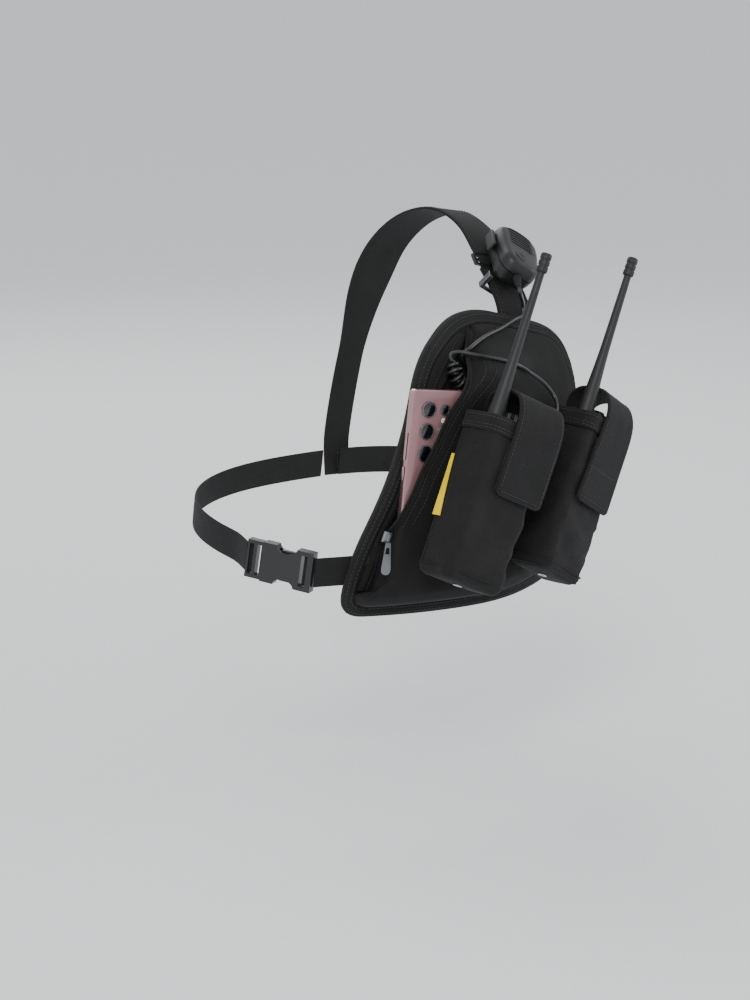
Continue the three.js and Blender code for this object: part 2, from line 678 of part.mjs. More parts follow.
// ---- the microphone's cord: lead, curl and lead to the left radio ----
const CURL_PATH = [
  [-21.5, 163, 16.4], [-22.5, 153, 16], [-17, 144.5, 14.2], [-3, 139.5, 14],
  [9, 129, 13.6], [13, 112, 13.5], [13, 94, 13.5],
];
const MIC_LEAD = [
  [72, 197, 18], [70, 190, 14.5], [60, 187.5, 13.5], [38, 183.5, 16.5], [17, 180, 19], [3, 176, 20.5], [-6, 172.5, 21],
  [-12, 168.5, 17.5], [-8.5, 161, 12.6], [-3, 156, 11], [6, 151, 11], [17, 143, 11], [24, 128, 11], [26.5, 110, 11],
  [26, 94, 11.5], [22, 86.5, 13], [16, 86, 14], [13.3, 90, 14.2], [13, 93.5, 13.5],
];
const RADIO_LEAD = [
  [-24, 165, 17], [-24.5, 169, 18], [-18, 171, 21], [-5, 168, 29], [12, 163.5, 33], [28, 157.5, 33],
  [44, 149, 28.5], [56, 138.5, 31], [61, 126, 35],
];

function micCord(mic) {
  const onBody = (p) => onChest(...p);
  const end = mic.localToWorld(vec(0, -1, -MIC_HEIGHT / 2 - 16));
  const start = mic.localToWorld(vec(0, -1, -MIC_HEIGHT / 2 - 22));
  const lead = [end, start, ...MIC_LEAD.map(onBody)];
  piece('cord_mic_lead', tube(lead, CORD_RADIUS, 44), RUBBER);
  piece('cord_curl', tube(CURL_PATH.map(onBody), CURL_RADIUS, 14, 10), RUBBER);
  const seat = seats.left;
  const plugTop = jack.z + 14;
  const plug = turned([[0, 0], [3, 0], [3, 8], [2.2, 14], [0, 14]], 10);
  plug.translate(jack.x, jack.y, jack.z + GAP);
  piece('cord_radio_plug', plug, RUBBER, seat);
  const local = [
    vec(44, jack.y + 3, plugTop + 7), vec(35, jack.y + 1, plugTop + 9), vec(27, jack.y, plugTop + 8),
    vec(jack.x + 0.4, jack.y, plugTop + 5), vec(jack.x, jack.y, plugTop + 2 * GAP),
  ];
  const radioLead = [...RADIO_LEAD.map(onBody), ...local.map((p) => seat.localToWorld(p))];
  piece('cord_radio_lead', tube(radioLead, CORD_RADIUS, 34), RUBBER);
}

// ---- shoulder strap ----
const YOKE_PATH = [[75, -83, 191.5], [78.5, -70, 207], [81, -56, 220]];
const STRAP_PATH = [
  [84.5, -44, 232], [86, -22, 253], [83, 6, 265], [79, 42, 258], [74, 76, 232], [69, 99, 190],
  [63, 112, 140],
];
// The strap's last points, as steps from where it meets the belt.
const STRAP_FOOT = [[5.7, 2.9, 55.7], [2.7, 6.9, 20.7], [1.7, 6.1, 5.7], [1.2, 4.5, -12.3]];

function ribbonOver(points, halfWidths, thickness) {
  const curve = new THREE.CatmullRomCurve3(points.map((p) => vec(...p)), false, 'centripetal');
  const count = points.length * 2;
  const path = curve.getPoints(count);
  const facing = path.map((p, i) => {
    const along = curve.getTangent(i / count);
    const out = p.clone().sub(vec(0.7 * p.x, 10, 120));
    return out.addScaledVector(along, -out.dot(along)).normalize();
  });
  const across = path.map((p, i) => facing[i].clone().cross(curve.getTangent(i / count)).normalize());
  const widths = (t) => {
    const half = halfWidths(t);
    return [-half, half];
  };
  return strap(path, across, facing, widths, thickness);
}

function shoulder() {
  const yokeHalf = YOKE_WIDTH / 2;
  piece('shoulder_yoke', ribbonOver(YOKE_PATH, () => yokeHalf, YOKE_THICK), NYLON);
  const taper = (t) => lerp(yokeHalf, WEBBING / 2, THREE.MathUtils.smoothstep(t, 0.45, 0.7));
  const join = beltPoint(JOIN_ANGLE, BELT_LIFT);
  const lower = STRAP_FOOT.map((step) => vec(...step).add(join).toArray());
  piece('shoulder_strap', ribbonOver([...STRAP_PATH, ...lower], taper, YOKE_THICK), WEB);
  const seat = new THREE.Group();
  const foot = vec(...YOKE_PATH[2]);
  const head = vec(...STRAP_PATH[0]);
  const along = head.clone().sub(foot);
  const middle = foot.clone().addScaledVector(along, 0.5);
  const length = along.length();
  const out = middle.clone().sub(vec(0.7 * middle.x, 10, 120));
  along.normalize();
  out.addScaledVector(along, -out.dot(along)).normalize();
  const across = along.clone().cross(out).normalize();
  seat.quaternion.setFromRotationMatrix(new THREE.Matrix4().makeBasis(across, out.clone().negate(), along));
  seat.position.copy(middle.addScaledVector(out, YOKE_THICK / 2));
  harness.add(seat);
  const reach = length - 6;
  const frame = block(YOKE_WIDTH + 6, 3, reach);
  const slots = [-1, 1].map((side) => block(YOKE_WIDTH, 8, 2.8, [0, 0, side * (reach / 2 - 3.2)]));
  piece('strap_adjuster', cut(frame, ...slots), PLASTIC, seat);
}

// ---- chest belt ----
const BUCKLE_AT = vec(-TORSO_WIDTH / 2 + 10, -58.5, 5.4);
const BUCKLE_YAW = -61.7;
const BUCKLE_TILT = 8.3;
const PLUG_BASE = 13.6; // how much of the buckle's length the plug's frame takes
const SOCKET_WALL = 1.8;

function beltPoint(degrees, lift) {
  const angle = rad(degrees);
  const power = 2 / TORSO_SQUARENESS;
  const bend = (value) => Math.sign(value) * Math.abs(value) ** power;
  const x = -(TORSO_WIDTH / 2 + lift) * bend(Math.sin(angle));
  const y = -(TORSO_DEPTH / 2 + lift) * bend(Math.cos(angle));
  return vec(x, y, BELT_HEIGHT + BELT_SLOPE * y);
}

function beltRibbon(name, path) {
  const normal = vec(0, -BELT_SLOPE, 1).normalize();
  const facing = path.map((p, i) => {
    const before = path[Math.max(i - 1, 0)];
    const after = path[Math.min(i + 1, path.length - 1)];
    return after.clone().sub(before).cross(normal).normalize();
  });
  const across = path.map(() => normal);
  const outward = facing[0].dot(path[0]) > 0 ? facing : facing.map((f) => f.negate());
  piece(name, strap(path, across, outward, () => [-WEBBING / 2, WEBBING / 2], WEBBING_THICK), WEB);
}

function around(from, to, step) {
  const points = [];
  for (let angle = from; angle <= to; angle += step) {
    points.push(beltPoint(angle, BELT_LIFT));
  }
  return points;
}

function belt() {
  const buckle = standing(BUCKLE_AT, BUCKLE_YAW, BUCKLE_TILT, 0);
  buckle.updateMatrixWorld(true);
  const half = BUCKLE_LENGTH / 2;
  const middleY = -BUCKLE_THICK / 2;
  const mouth = -half + PLUG_BASE + GAP;
  const insideZ = BUCKLE_WIDTH / 2 - 3.2;
  const shell = block(half - mouth, BUCKLE_THICK, BUCKLE_WIDTH, [(half + mouth) / 2, middleY, 0]);
  const pocketEnd = half - 12.6;
  const cavity = block(pocketEnd - mouth + 2, BUCKLE_THICK - 2 * SOCKET_WALL, 2 * insideZ,
    [(pocketEnd + mouth) / 2 - 1, middleY, 0]);
  const windowZ = BUCKLE_WIDTH / 2;
  const windows = [-1, 1].map((side) => {
    const scallop = new THREE.CylinderGeometry(9, 9, BUCKLE_THICK + 4, 20);
    return scallop.scale(1, 1, 0.62).translate(pocketEnd - 11, middleY, side * windowZ);
  });
  const webSlot = block(5.4, BUCKLE_THICK + 2, WEBBING + 1, [half - 7.6, middleY, 0]);
  piece('buckle_socket', cut(shell, cavity, ...windows, webSlot), PLASTIC, buckle);

  const frame = block(PLUG_BASE, BUCKLE_THICK - 2, BUCKLE_WIDTH - 1.4, [-half + PLUG_BASE / 2, middleY, 0]);
  const rearSlot = block(3.6, BUCKLE_THICK, WEBBING + 0.6, [-half + 3.8, middleY, 0]);
  const frontSlot = block(3.6, BUCKLE_THICK, WEBBING + 0.6, [-half + PLUG_BASE - 3.2, middleY, 0]);
  const tongueLength = pocketEnd - mouth - 3;
  const tongue = block(tongueLength, 3, 8, [mouth + tongueLength / 2 - 1, middleY, 0]);
  piece('buckle_plug', join(cut(frame, rearSlot, frontSlot), tongue), PLASTIC, buckle);

  const armStart = mouth;
  const armEnd = pocketEnd - 1.5;
  const armTop = insideZ - GAP;
  for (const [name, side] of [['upper', 1], ['lower', -1]]) {
    const outline = new THREE.Shape([
      [armStart, 7.6], [armEnd - 2, 7.2], [armEnd, 9], [armEnd - 1.5, armTop], [armEnd - 14, armTop],
      [armEnd - 17, armTop - 2.4], [armStart, armTop - 2],
    ].map(([x, z]) => new THREE.Vector2(x, z * side)));
    const arm = new THREE.ExtrudeGeometry(outline, { depth: 4.2, bevelEnabled: false });
    arm.rotateX(Math.PI / 2).translate(0, middleY + 2.1, 0);
    piece(`release_prong_${name}`, arm, PLASTIC, buckle);
  }

  const webY = -BUCKLE_THICK / 2 + WEBBING_THICK / 2;
  const socketEnd = buckle.localToWorld(vec(half + GAP, webY, 0));
  const plugEnd = buckle.localToWorld(vec(-half - GAP, webY, 0));
  const [leftCorner, waistCorner] = PANEL_CORNERS;
  const leftRim = lerp(leftCorner[0], waistCorner[0], -leftCorner[1] / (waistCorner[1] - leftCorner[1]));
  const rightCorner = PANEL_CORNERS[6];
  const lowRight = PANEL_CORNERS[7];
  const rightRim = lerp(lowRight[0], rightCorner[0], -lowRight[1] / (rightCorner[1] - lowRight[1]));
  beltRibbon('belt_short', [onChest(leftRim - 3, 0, 2.4), socketEnd]);
  beltRibbon('belt_side', [plugEnd, ...around(86, JOIN_ANGLE - 0.3, 6)]);
  beltRibbon('belt_rear', [...around(JOIN_ANGLE, 312, 7), onChest(rightRim + 3, 0, 2.4)]);
}

// ---- label sewn into the left pouch's seam ----
function sideTag() {
  const outline = new THREE.Shape([[3, 0], [6, 0], [12, -52], [3, -54]].map((p) => new THREE.Vector2(...p)));
  const tag = new THREE.ExtrudeGeometry(outline, { depth: 0.8, bevelEnabled: false });
  tag.rotateX(Math.PI / 2).rotateZ(-Math.PI / 2).translate(-POUCH_WIDTH / 2 - GAP, 0, 19);
  piece('side_tag', tag, YELLOW, seats.left);
}

backPanel();
edgeBinding();
zipSideStrip();
pocketFront();
zipHalves();
zipSlider();
phone();
harness.updateMatrixWorld(true);
micCord(microphone());
shoulder();
belt();
sideTag();

export default harness;
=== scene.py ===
"""The looks of a one-shoulder radio chest harness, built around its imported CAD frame."""
import math

import bmesh
import bpy
from mathutils import Matrix, Vector, noise


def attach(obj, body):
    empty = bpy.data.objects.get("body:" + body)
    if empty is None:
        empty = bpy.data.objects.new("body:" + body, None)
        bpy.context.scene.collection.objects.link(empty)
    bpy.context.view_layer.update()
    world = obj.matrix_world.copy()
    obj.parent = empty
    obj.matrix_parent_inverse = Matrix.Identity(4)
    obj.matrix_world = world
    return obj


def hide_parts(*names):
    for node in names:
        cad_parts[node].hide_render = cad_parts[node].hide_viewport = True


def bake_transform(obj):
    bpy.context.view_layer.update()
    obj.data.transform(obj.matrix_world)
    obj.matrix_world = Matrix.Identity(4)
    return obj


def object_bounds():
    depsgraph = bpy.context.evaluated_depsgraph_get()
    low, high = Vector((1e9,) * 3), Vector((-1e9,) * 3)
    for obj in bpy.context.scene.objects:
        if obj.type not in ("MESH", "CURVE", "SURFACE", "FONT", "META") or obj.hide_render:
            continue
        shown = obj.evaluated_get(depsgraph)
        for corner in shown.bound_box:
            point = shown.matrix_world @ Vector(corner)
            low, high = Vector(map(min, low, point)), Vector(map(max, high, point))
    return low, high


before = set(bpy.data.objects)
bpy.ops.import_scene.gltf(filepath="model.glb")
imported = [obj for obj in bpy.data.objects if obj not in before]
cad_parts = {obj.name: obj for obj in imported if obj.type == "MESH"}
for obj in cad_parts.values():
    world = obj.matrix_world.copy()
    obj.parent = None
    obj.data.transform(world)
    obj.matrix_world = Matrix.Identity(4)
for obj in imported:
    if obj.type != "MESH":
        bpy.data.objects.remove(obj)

cad_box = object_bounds()
MM = 0.001


def placed(name, data):
    made = bpy.data.objects.new(name, data)
    bpy.context.scene.collection.objects.link(made)
    return made


# ---- camera, floor and light ----
AZIMUTH, ELEVATION, DISTANCE = math.radians(-40), math.radians(12.5), 2.3
TARGET = Vector((0, 0, 0.026))
SIDESTEP = 0.00427  # the object stands a little right of the middle of the frame
back = Vector((math.sin(AZIMUTH) * math.cos(ELEVATION), -math.cos(AZIMUTH) * math.cos(ELEVATION),
               math.sin(ELEVATION)))
camera = placed("camera", bpy.data.cameras.new("camera"))
right = Vector((math.cos(AZIMUTH), math.sin(AZIMUTH), 0))
camera.location = TARGET - right * SIDESTEP + back * DISTANCE
camera.rotation_euler = back.to_track_quat("Z", "Y").to_euler()
camera.data.sensor_fit = "VERTICAL"
camera.data.sensor_height = 36
camera.data.lens = 96.9
camera.data.clip_end = 50
bpy.context.scene.camera = camera


def area_light(name, place, size, power, warmth=(1, 1, 1)):
    data = bpy.data.lights.new(name, "AREA")
    data.size = size
    data.energy = power
    data.color = warmth
    lamp = placed(name, data)
    lamp.location = place
    lamp.rotation_euler = (Vector(place) - Vector((0, -0.05, 0.05))).to_track_quat("Z", "Y").to_euler()


area_light("key", (-1.5, -1.7, 1.7), 1.1, 34)
area_light("fill", (1.7, -1.2, 0.7), 1.3, 12)
area_light("rim", (0.7, 1.7, 1.5), 1.2, 18)
area_light("low", (-1.4, -0.9, -0.1), 0.9, 4)
world = bpy.data.worlds.new("world")
world.use_nodes = True
world.node_tree.nodes["Background"].inputs["Color"].default_value = (0.93, 0.945, 0.96, 1)
world.node_tree.nodes["Background"].inputs["Strength"].default_value = 0.95
bpy.context.scene.world = world


# ---- materials ----
def shader(name, color, roughness, metallic=0.0, sheen=0.0, coat=0.0):
    material = bpy.data.materials.new(name)
    material.use_nodes = True
    bsdf = material.node_tree.nodes["Principled BSDF"]
    bsdf.inputs["Base Color"].default_value = (*color, 1)
    bsdf.inputs["Roughness"].default_value = roughness
    bsdf.inputs["Metallic"].default_value = metallic
    bsdf.inputs["Sheen Weight"].default_value = sheen
    bsdf.inputs["Sheen Roughness"].default_value = 0.5
    bsdf.inputs["Specular IOR Level"].default_value = 0.22 if roughness > 0.6 else 0.45
    bsdf.inputs["Coat Weight"].default_value = coat
    material.diffuse_color = (*color, 1)
    return material, material.node_tree, bsdf


def node(tree, kind, **values):
    made = tree.nodes.new(kind)
    for key, value in values.items():
        if key in made.inputs:
            made.inputs[key].default_value = value
        else:
            setattr(made, key, value)
    return made


def math_node(tree, operation, a, b):
    made = node(tree, "ShaderNodeMath", operation=operation)
    for i, value in enumerate((a, b)):
        if isinstance(value, (int, float)):
            made.inputs[i].default_value = value
        else:
            tree.links.new(value, made.inputs[i])
    return made.outputs[0]


def coat_of_detail(tree, bsdf, color, height, strength, distance, spread=0.3, patch=35.0):
    """Colour follows the thread height, a painted shade in the dips and a painted highlight on the crests,
    and varies with broad worn patches; the height drives the bump.
    """
    link = tree.links.new
    coords = node(tree, "ShaderNodeTexCoord").outputs["Object"]
    broad = node(tree, "ShaderNodeTexNoise", Scale=patch, Detail=4.0, Roughness=0.6)
    link(coords, broad.inputs["Vector"])
    # painted shade and highlight: the height darkens the colour in the dips and lightens it on the crests;
    # the broad patches add random tone
    painted_relief_shade = math_node(tree, "MULTIPLY_ADD", height, 0.5)
    painted_relief_shade.node.inputs[2].default_value = 0.0
    relief_shade_and_patches = math_node(tree, "ADD", painted_relief_shade, broad.outputs[0])
    ramp = node(tree, "ShaderNodeValToRGB")
    ramp.color_ramp.elements[0].position = 0.25
    ramp.color_ramp.elements[1].position = 0.95
    ramp.color_ramp.elements[0].color = (*[c * (1 - spread) for c in color], 1)
    ramp.color_ramp.elements[1].color = (*[min(c * (1 + spread), 1) for c in color], 1)
    link(relief_shade_and_patches, ramp.inputs["Fac"])
    link(ramp.outputs["Color"], bsdf.inputs["Base Color"])
    bump = node(tree, "ShaderNodeBump", Strength=strength, Distance=distance)
    link(height, bump.inputs["Height"])
    link(bump.outputs["Normal"], bsdf.inputs["Normal"])


def woven(name, color, thread_mm, roughness=0.88, sheen=0.03, strength=0.5):
    """Plain weave: two crossed sets of threads with a little irregularity."""
    material, tree, bsdf = shader(name, color, roughness, sheen=sheen)
    link = tree.links.new
    coords = node(tree, "ShaderNodeTexCoord").outputs["Object"]
    heights = []
    for angle in (32, -58):
        turn = node(tree, "ShaderNodeMapping")
        turn.inputs["Rotation"].default_value = (0, math.radians(angle), math.radians(12))
        link(coords, turn.inputs["Vector"])
        wave = node(tree, "ShaderNodeTexWave", Scale=0.314 / (thread_mm * MM) / 2, Distortion=0.8, Detail=2.0)
        link(turn.outputs[0], wave.inputs["Vector"])
        heights.append(wave.outputs["Fac"])
    crossed = math_node(tree, "MAXIMUM", *heights)
    grain = node(tree, "ShaderNodeTexNoise", Scale=1400.0, Detail=3.0)
    link(coords, grain.inputs["Vector"])
    height = math_node(tree, "MULTIPLY", crossed, grain.outputs[0])
    coat_of_detail(tree, bsdf, color, height, strength, 0.0006)
    return material


def ribbed(name, color, pitch_mm, across=0.0, roughness=0.8, strength=0.7):
    """Webbing: ribs along the length with fine cross threads, laid out by the strap's own u and v."""
    material, tree, bsdf = shader(name, color, roughness, sheen=0.02)
    link = tree.links.new
    uv = node(tree, "ShaderNodeTexCoord").outputs["UV"]
    long_wave = node(tree, "ShaderNodeTexWave", Scale=0.314 / (pitch_mm * MM), Distortion=0.4)
    turn = node(tree, "ShaderNodeMapping")
    turn.inputs["Rotation"].default_value = (0, 0, math.radians(across))
    link(uv, turn.inputs["Vector"])
    link(turn.outputs[0], long_wave.inputs["Vector"])
    cross_wave = node(tree, "ShaderNodeTexWave", Scale=320.0, Distortion=1.0, bands_direction="Y")
    link(turn.outputs[0], cross_wave.inputs["Vector"])
    height = math_node(tree, "MULTIPLY", long_wave.outputs["Fac"], math_node(
        tree, "ADD", math_node(tree, "MULTIPLY", cross_wave.outputs["Fac"], 0.5), 0.5))
    coat_of_detail(tree, bsdf, color, height, strength, 0.0007)
    return material


def moulded(name, color, roughness, grain=900.0, strength=0.12, metallic=0.0, coat=0.0, spread=0.12):
    material, tree, bsdf = shader(name, color, roughness, metallic=metallic, coat=coat)
    link = tree.links.new
    coords = node(tree, "ShaderNodeTexCoord").outputs["Object"]
    fine = node(tree, "ShaderNodeTexNoise", Scale=grain, Detail=5.0, Roughness=0.65)
    link(coords, fine.inputs["Vector"])
    coat_of_detail(tree, bsdf, color, fine.outputs[0], strength, 0.0003, spread)
    wear = node(tree, "ShaderNodeTexNoise", Scale=60.0, Detail=6.0)
    link(coords, wear.inputs["Vector"])
    scuffed = node(tree, "ShaderNodeMapRange")
    scuffed.inputs["To Min"].default_value = max(roughness - 0.08, 0.04)
    scuffed.inputs["To Max"].default_value = min(roughness + 0.12, 1)
    link(wear.outputs[0], scuffed.inputs["Value"])
    link(scuffed.outputs[0], bsdf.inputs["Roughness"])
    return material


NYLON = woven("coated_nylon", (0.0085, 0.0085, 0.009), 0.7)
POUCH = woven("pouch_nylon", (0.0105, 0.0104, 0.011), 0.8, strength=0.65)
LINING = woven("lining", (0.006, 0.006, 0.0066), 0.5, roughness=0.7)
TAPE = ribbed("binding_tape", (0.011, 0.011, 0.0115), 1.0, 90)
WEBBING = ribbed("webbing", (0.0125, 0.0125, 0.013), 1.5, strength=0.45)
PILE = woven("loop_pile", (0.009, 0.009, 0.0095), 0.45, sheen=0.15, strength=1.0)
THREAD = woven("sewing_thread", (0.024, 0.024, 0.0255), 0.3, roughness=0.6)
PLASTIC = moulded("moulded_plastic", (0.0085, 0.0087, 0.0095), 0.42)
SATIN = moulded("buckle_plastic", (0.0085, 0.0086, 0.0095), 0.3, coat=0.15)
RUBBER = moulded("rubber", (0.0088, 0.009, 0.0098), 0.5, grain=500.0)
CORD = moulded("cord_jacket", (0.012, 0.0122, 0.0135), 0.33, grain=300.0, coat=0.2)
STEEL = moulded("plated_steel", (0.62, 0.63, 0.65), 0.28, metallic=1.0)
GUNMETAL = moulded("gunmetal", (0.20, 0.205, 0.22), 0.3, metallic=1.0)
ROSE = moulded("rose_back", (0.29, 0.155, 0.165), 0.34, grain=2200.0, strength=0.05, metallic=0.35, coat=0.3)
ROSE_EDGE = moulded("rose_frame", (0.50, 0.31, 0.32), 0.2, grain=2200.0, strength=0.04, metallic=0.9)
GLASS = moulded("black_glass", (0.006, 0.007, 0.009), 0.06, grain=100.0, strength=0.01, coat=1.0)
LENS = moulded("lens_glass", (0.003, 0.0035, 0.005), 0.04, grain=100.0, strength=0.01, coat=1.0)
YELLOW = woven("yellow_label", (0.83, 0.56, 0.01), 0.5, strength=0.4)
FLOOR = moulded("floor", (0.80, 0.81, 0.82), 0.8, grain=40.0, strength=0.02, spread=0.01)


# ---- mesh helpers (points in mm) ----
def add(name, shape, body, material, smooth=40.0, uv=None, replaces=()):
    verts, faces = shape
    mesh = bpy.data.meshes.new(name)
    mesh.from_pydata([Vector(v) * MM for v in verts], [], faces)
    if uv:
        uv = [*uv, uv[0], uv[-1]]  # the two cap hubs, where there are caps
        layer = mesh.uv_layers.new(name="UVMap")
        for loop in mesh.loops:
            layer.data[loop.index].uv = [c * MM for c in uv[loop.vertex_index]]
    edit = bmesh.new()
    edit.from_mesh(mesh)
    bmesh.ops.recalc_face_normals(edit, faces=edit.faces)
    edit.to_mesh(mesh)
    edit.free()
    mesh.polygons.foreach_set("use_smooth", [True] * len(mesh.polygons))
    mesh.set_sharp_from_angle(angle=math.radians(smooth))
    made = placed(name, mesh)
    made.data.materials.append(material)
    if body:
        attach(made, body)
    if replaces:
        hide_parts(*replaces)
    return made


def loft(rings, closed=False, caps=True):
    count = len(rings[0])
    verts = [p for ring in rings for p in ring]
    faces = []
    spans = len(rings) if closed else len(rings) - 1
    for r in range(spans):
        after = (r + 1) % len(rings)
        for i in range(count):
            j = (i + 1) % count
            faces.append((r * count + i, r * count + j, after * count + j, after * count + i))
    if caps and not closed:
        for r in (0, len(rings) - 1):
            middle = sum((Vector(p) for p in rings[r]), Vector()) / count
            verts.append(middle)
            hub = len(verts) - 1
            faces += [(r * count + i, hub, r * count + (i + 1) % count) for i in range(count)]
    return verts, faces


def catmull(points, count):
    """Centripetal curve through the points, evenly walked."""
    points = [Vector(p) for p in points]
    ends = [2 * points[0] - points[1], *points, 2 * points[-1] - points[-2]]
    dense = []
    for i in range(1, len(ends) - 2):
        p0, p1, p2, p3 = ends[i - 1:i + 3]
        d0, d1, d2 = (max((b - a).length ** 0.5, 1e-4) for a, b in ((p0, p1), (p1, p2), (p2, p3)))
        m1 = ((p1 - p0) / d0 - (p2 - p0) / (d0 + d1) + (p2 - p1) / d1) * d1
        m2 = ((p2 - p1) / d1 - (p3 - p1) / (d1 + d2) + (p3 - p2) / d2) * d1
        for k in range(16):
            t = k / 16
            a, b = 2 * t ** 3 - 3 * t ** 2 + 1, t ** 3 - 2 * t ** 2 + t
            dense.append(p1 * a + m1 * b + p2 * (1 - a) + m2 * (t ** 3 - t ** 2))
    dense.append(points[-1])
    return respaced(dense, count)


def respaced(line, count, closed=False):
    if closed:
        line = [*line, line[0]]
    total = [0.0]
    for a, b in zip(line, line[1:]):
        total.append(total[-1] + (b - a).length)
    result, at = [], 0
    for k in range(count):
        want = total[-1] * k / (count if closed else count - 1)
        while at < len(line) - 2 and total[at + 1] < want:
            at += 1
        span = max(total[at + 1] - total[at], 1e-9)
        result.append(line[at].lerp(line[at + 1], clamp((want - total[at]) / span)))
    return result


def tangent(path, i):
    return (path[min(i + 1, len(path) - 1)] - path[max(i - 1, 0)]).normalized()


def level(p):
    return Vector((p.x, p.y, 0))


def heading(line, i):
    return tangent([level(q) for q in line], i)


def clamp(share):
    return min(max(share, 0), 1)


def tube_mesh(path, radius, sides=12):
    """radius is a number or a function of the share along the path."""
    rings, normal = [], None
    for i, p in enumerate(path):
        along = tangent(path, i)
        if normal is None:
            normal = along.orthogonal().normalized()
        normal = (normal - along * normal.dot(along)).normalized()
        other = along.cross(normal)
        r = radius(i / (len(path) - 1)) if callable(radius) else radius
        rings.append([p + normal * (r * math.cos(a)) + other * (r * math.sin(a))
                      for a in (2 * math.pi * k / sides for k in range(sides))])
    return loft(rings)


def merged(parts):
    verts, faces = [], []
    for v, f in parts:
        base = len(verts)
        verts += list(v)
        faces += [tuple(i + base for i in face) for face in f]
    return verts, faces


def stitches(line, normals, pitch=3.4, length=2.5, radius=0.33, sink=0.05):
    """Small thread loops along a line that lies on a surface."""
    walk = [0.0]
    for a, b in zip(line, line[1:]):
        walk.append(walk[-1] + (b - a).length)
    parts, at, want = [], 0, pitch / 2
    while want < walk[-1] - pitch / 2:
        while walk[at + 1] < want:
            at += 1
        t = (want - walk[at]) / max(walk[at + 1] - walk[at], 1e-9)
        p = line[at].lerp(line[at + 1], t)
        n = normals[at].lerp(normals[at + 1], t).normalized()
        along = (line[at + 1] - line[at]).normalized()
        side = along.cross(n).normalized()
        ends = []
        for s, r in ((-0.5, 0.35), (-0.3, 1.0), (0.3, 1.0), (0.5, 0.35)):
            middle = p + along * (s * length) + n * (radius * (r - 0.6) - sink)
            ends.append([middle + side * (radius * r * math.cos(a)) + n * (radius * r * math.sin(a))
                         for a in (math.radians(30 + 60 * k) for k in range(6))])
        parts.append(loft(ends))
        want += pitch
    return merged(parts)


# ---- the chest and the panel's outline: these values repeat the part's own ----
BREASTBONE = [(-96, -110), (-36, -115), (24, -121), (74, -123), (124, -116), (174, -98), (224, -66)]
PANEL_CORNERS = [(-124, -39, 22), (-118, 10, 26), (-50, 165, 26), (-8, 194, 22), (28, 199, 18),
                 (122, 174, 32), (137, 128, 30), (112, -37, 26), (40, -44, 34)]
PANEL_FRONT, COVER_BASE, SHEET = 6.0, 7.0, 1.6
CHEST_RADIUS, CHEST_WIDENING = 285.6, 0.85
TORSO_WIDTH, TORSO_DEPTH, TORSO_SQUARENESS = 323, 236, 2.45
BELT_HEIGHT, BELT_SLOPE = 15, 0.165


def uniform_spline(points, steps):
    out = []
    for i in range(len(points) - 1):
        p = [points[max(min(i + k, len(points) - 1), 0)] for k in (-1, 0, 1, 2)]
        for k in range(steps):
            t = k / steps
            row = []
            for c in (0, 1):
                v0, v1 = (p[2][c] - p[0][c]) / 2, (p[3][c] - p[1][c]) / 2
                row.append((2 * p[1][c] - 2 * p[2][c] + v0 + v1) * t ** 3
                           + (-3 * p[1][c] + 3 * p[2][c] - 2 * v0 - v1) * t * t + v0 * t + p[1][c])
            out.append(row)
    return out + [list(points[-1])]


SPINE = uniform_spline(BREASTBONE, 24)


def breastbone_at(z):
    z = min(max(z, SPINE[0][0]), SPINE[-1][0])
    for (z0, y0), (z1, y1) in zip(SPINE, SPINE[1:]):
        if z <= z1:
            return y0 + (y1 - y0) * (z - z0) / (z1 - z0)
    return SPINE[-1][1]


def on_chest(u, z, lift):
    radius = CHEST_RADIUS + CHEST_WIDENING * z
    angle = u / radius
    y = breastbone_at(z) + radius - (radius + lift) * math.cos(angle)
    return Vector(((radius + lift) * math.sin(angle), y, z))


def chest_normal(u, z):
    return (on_chest(u, z, 10) - on_chest(u, z, 0)).normalized()


def rounded_outline(corners, count):
    line = []
    for i, (u, z, r) in enumerate(corners):
        at = Vector((u, z, 0))
        before = Vector((*corners[i - 1][:2], 0))
        after = Vector((*corners[(i + 1) % len(corners)][:2], 0))
        # neighbouring roundings never run past each other
        enter = at + (before - at).normalized() * min(r, 0.48 * (before - at).length)
        leave = at + (after - at).normalized() * min(r, 0.48 * (after - at).length)
        for k in range(13):
            t = k / 12
            line.append(enter * (1 - t) ** 2 + at * (2 * t * (1 - t)) + leave * t * t)
    return respaced(line, count, closed=True)


def offset_outline(outline, distance):
    area = sum(a.x * b.y - b.x * a.y for a, b in zip(outline, outline[1:] + outline[:1]))
    sign = 1 if area > 0 else -1
    moved = []
    for i, p in enumerate(outline):
        along = (outline[(i + 1) % len(outline)] - outline[i - 1]).normalized()
        moved.append(Vector((p.x + sign * along.y * distance, p.y - sign * along.x * distance, 0)))
    return moved


OUTLINE = rounded_outline(PANEL_CORNERS, 220)


def ruffle(u, z, size, scale, seed=0.0):
    return size * noise.fractal(Vector((u / scale, z / scale, seed)), 0.9, 2.1, 3)


def chest_sheet(name, outline, centre, rings, faces_at, material, node_name):
    low, high = [], []
    shares = [1 - (k / rings) ** 1.5 * 0.985 for k in range(rings + 1)]
    for f in shares:
        rows = ([], [])
        for i, p in enumerate(outline):
            u, z = centre[0] + (p.x - centre[0]) * f, centre[1] + (p.y - centre[1]) * f
            for row, lift in zip(rows, faces_at(u, z, f, i)):
                row.append(on_chest(u, z, lift))
        low.append(rows[0])
        high.append(rows[1])
    return add(name, loft([*reversed(low), *high]), "harness", material, 60, replaces=(node_name,))


# ---- back panel and its bound edge ----
def panel_faces(u, z, f, i):
    pad = 0.5 * (1 - f ** 8) + ruffle(u, z, 0.12, 14)
    return 1.0 - 0.5 * pad, PANEL_FRONT - 0.2


chest_sheet("back_pad", offset_outline(OUTLINE, -1.8), (5, 72), 20, panel_faces, LINING, "back_panel")


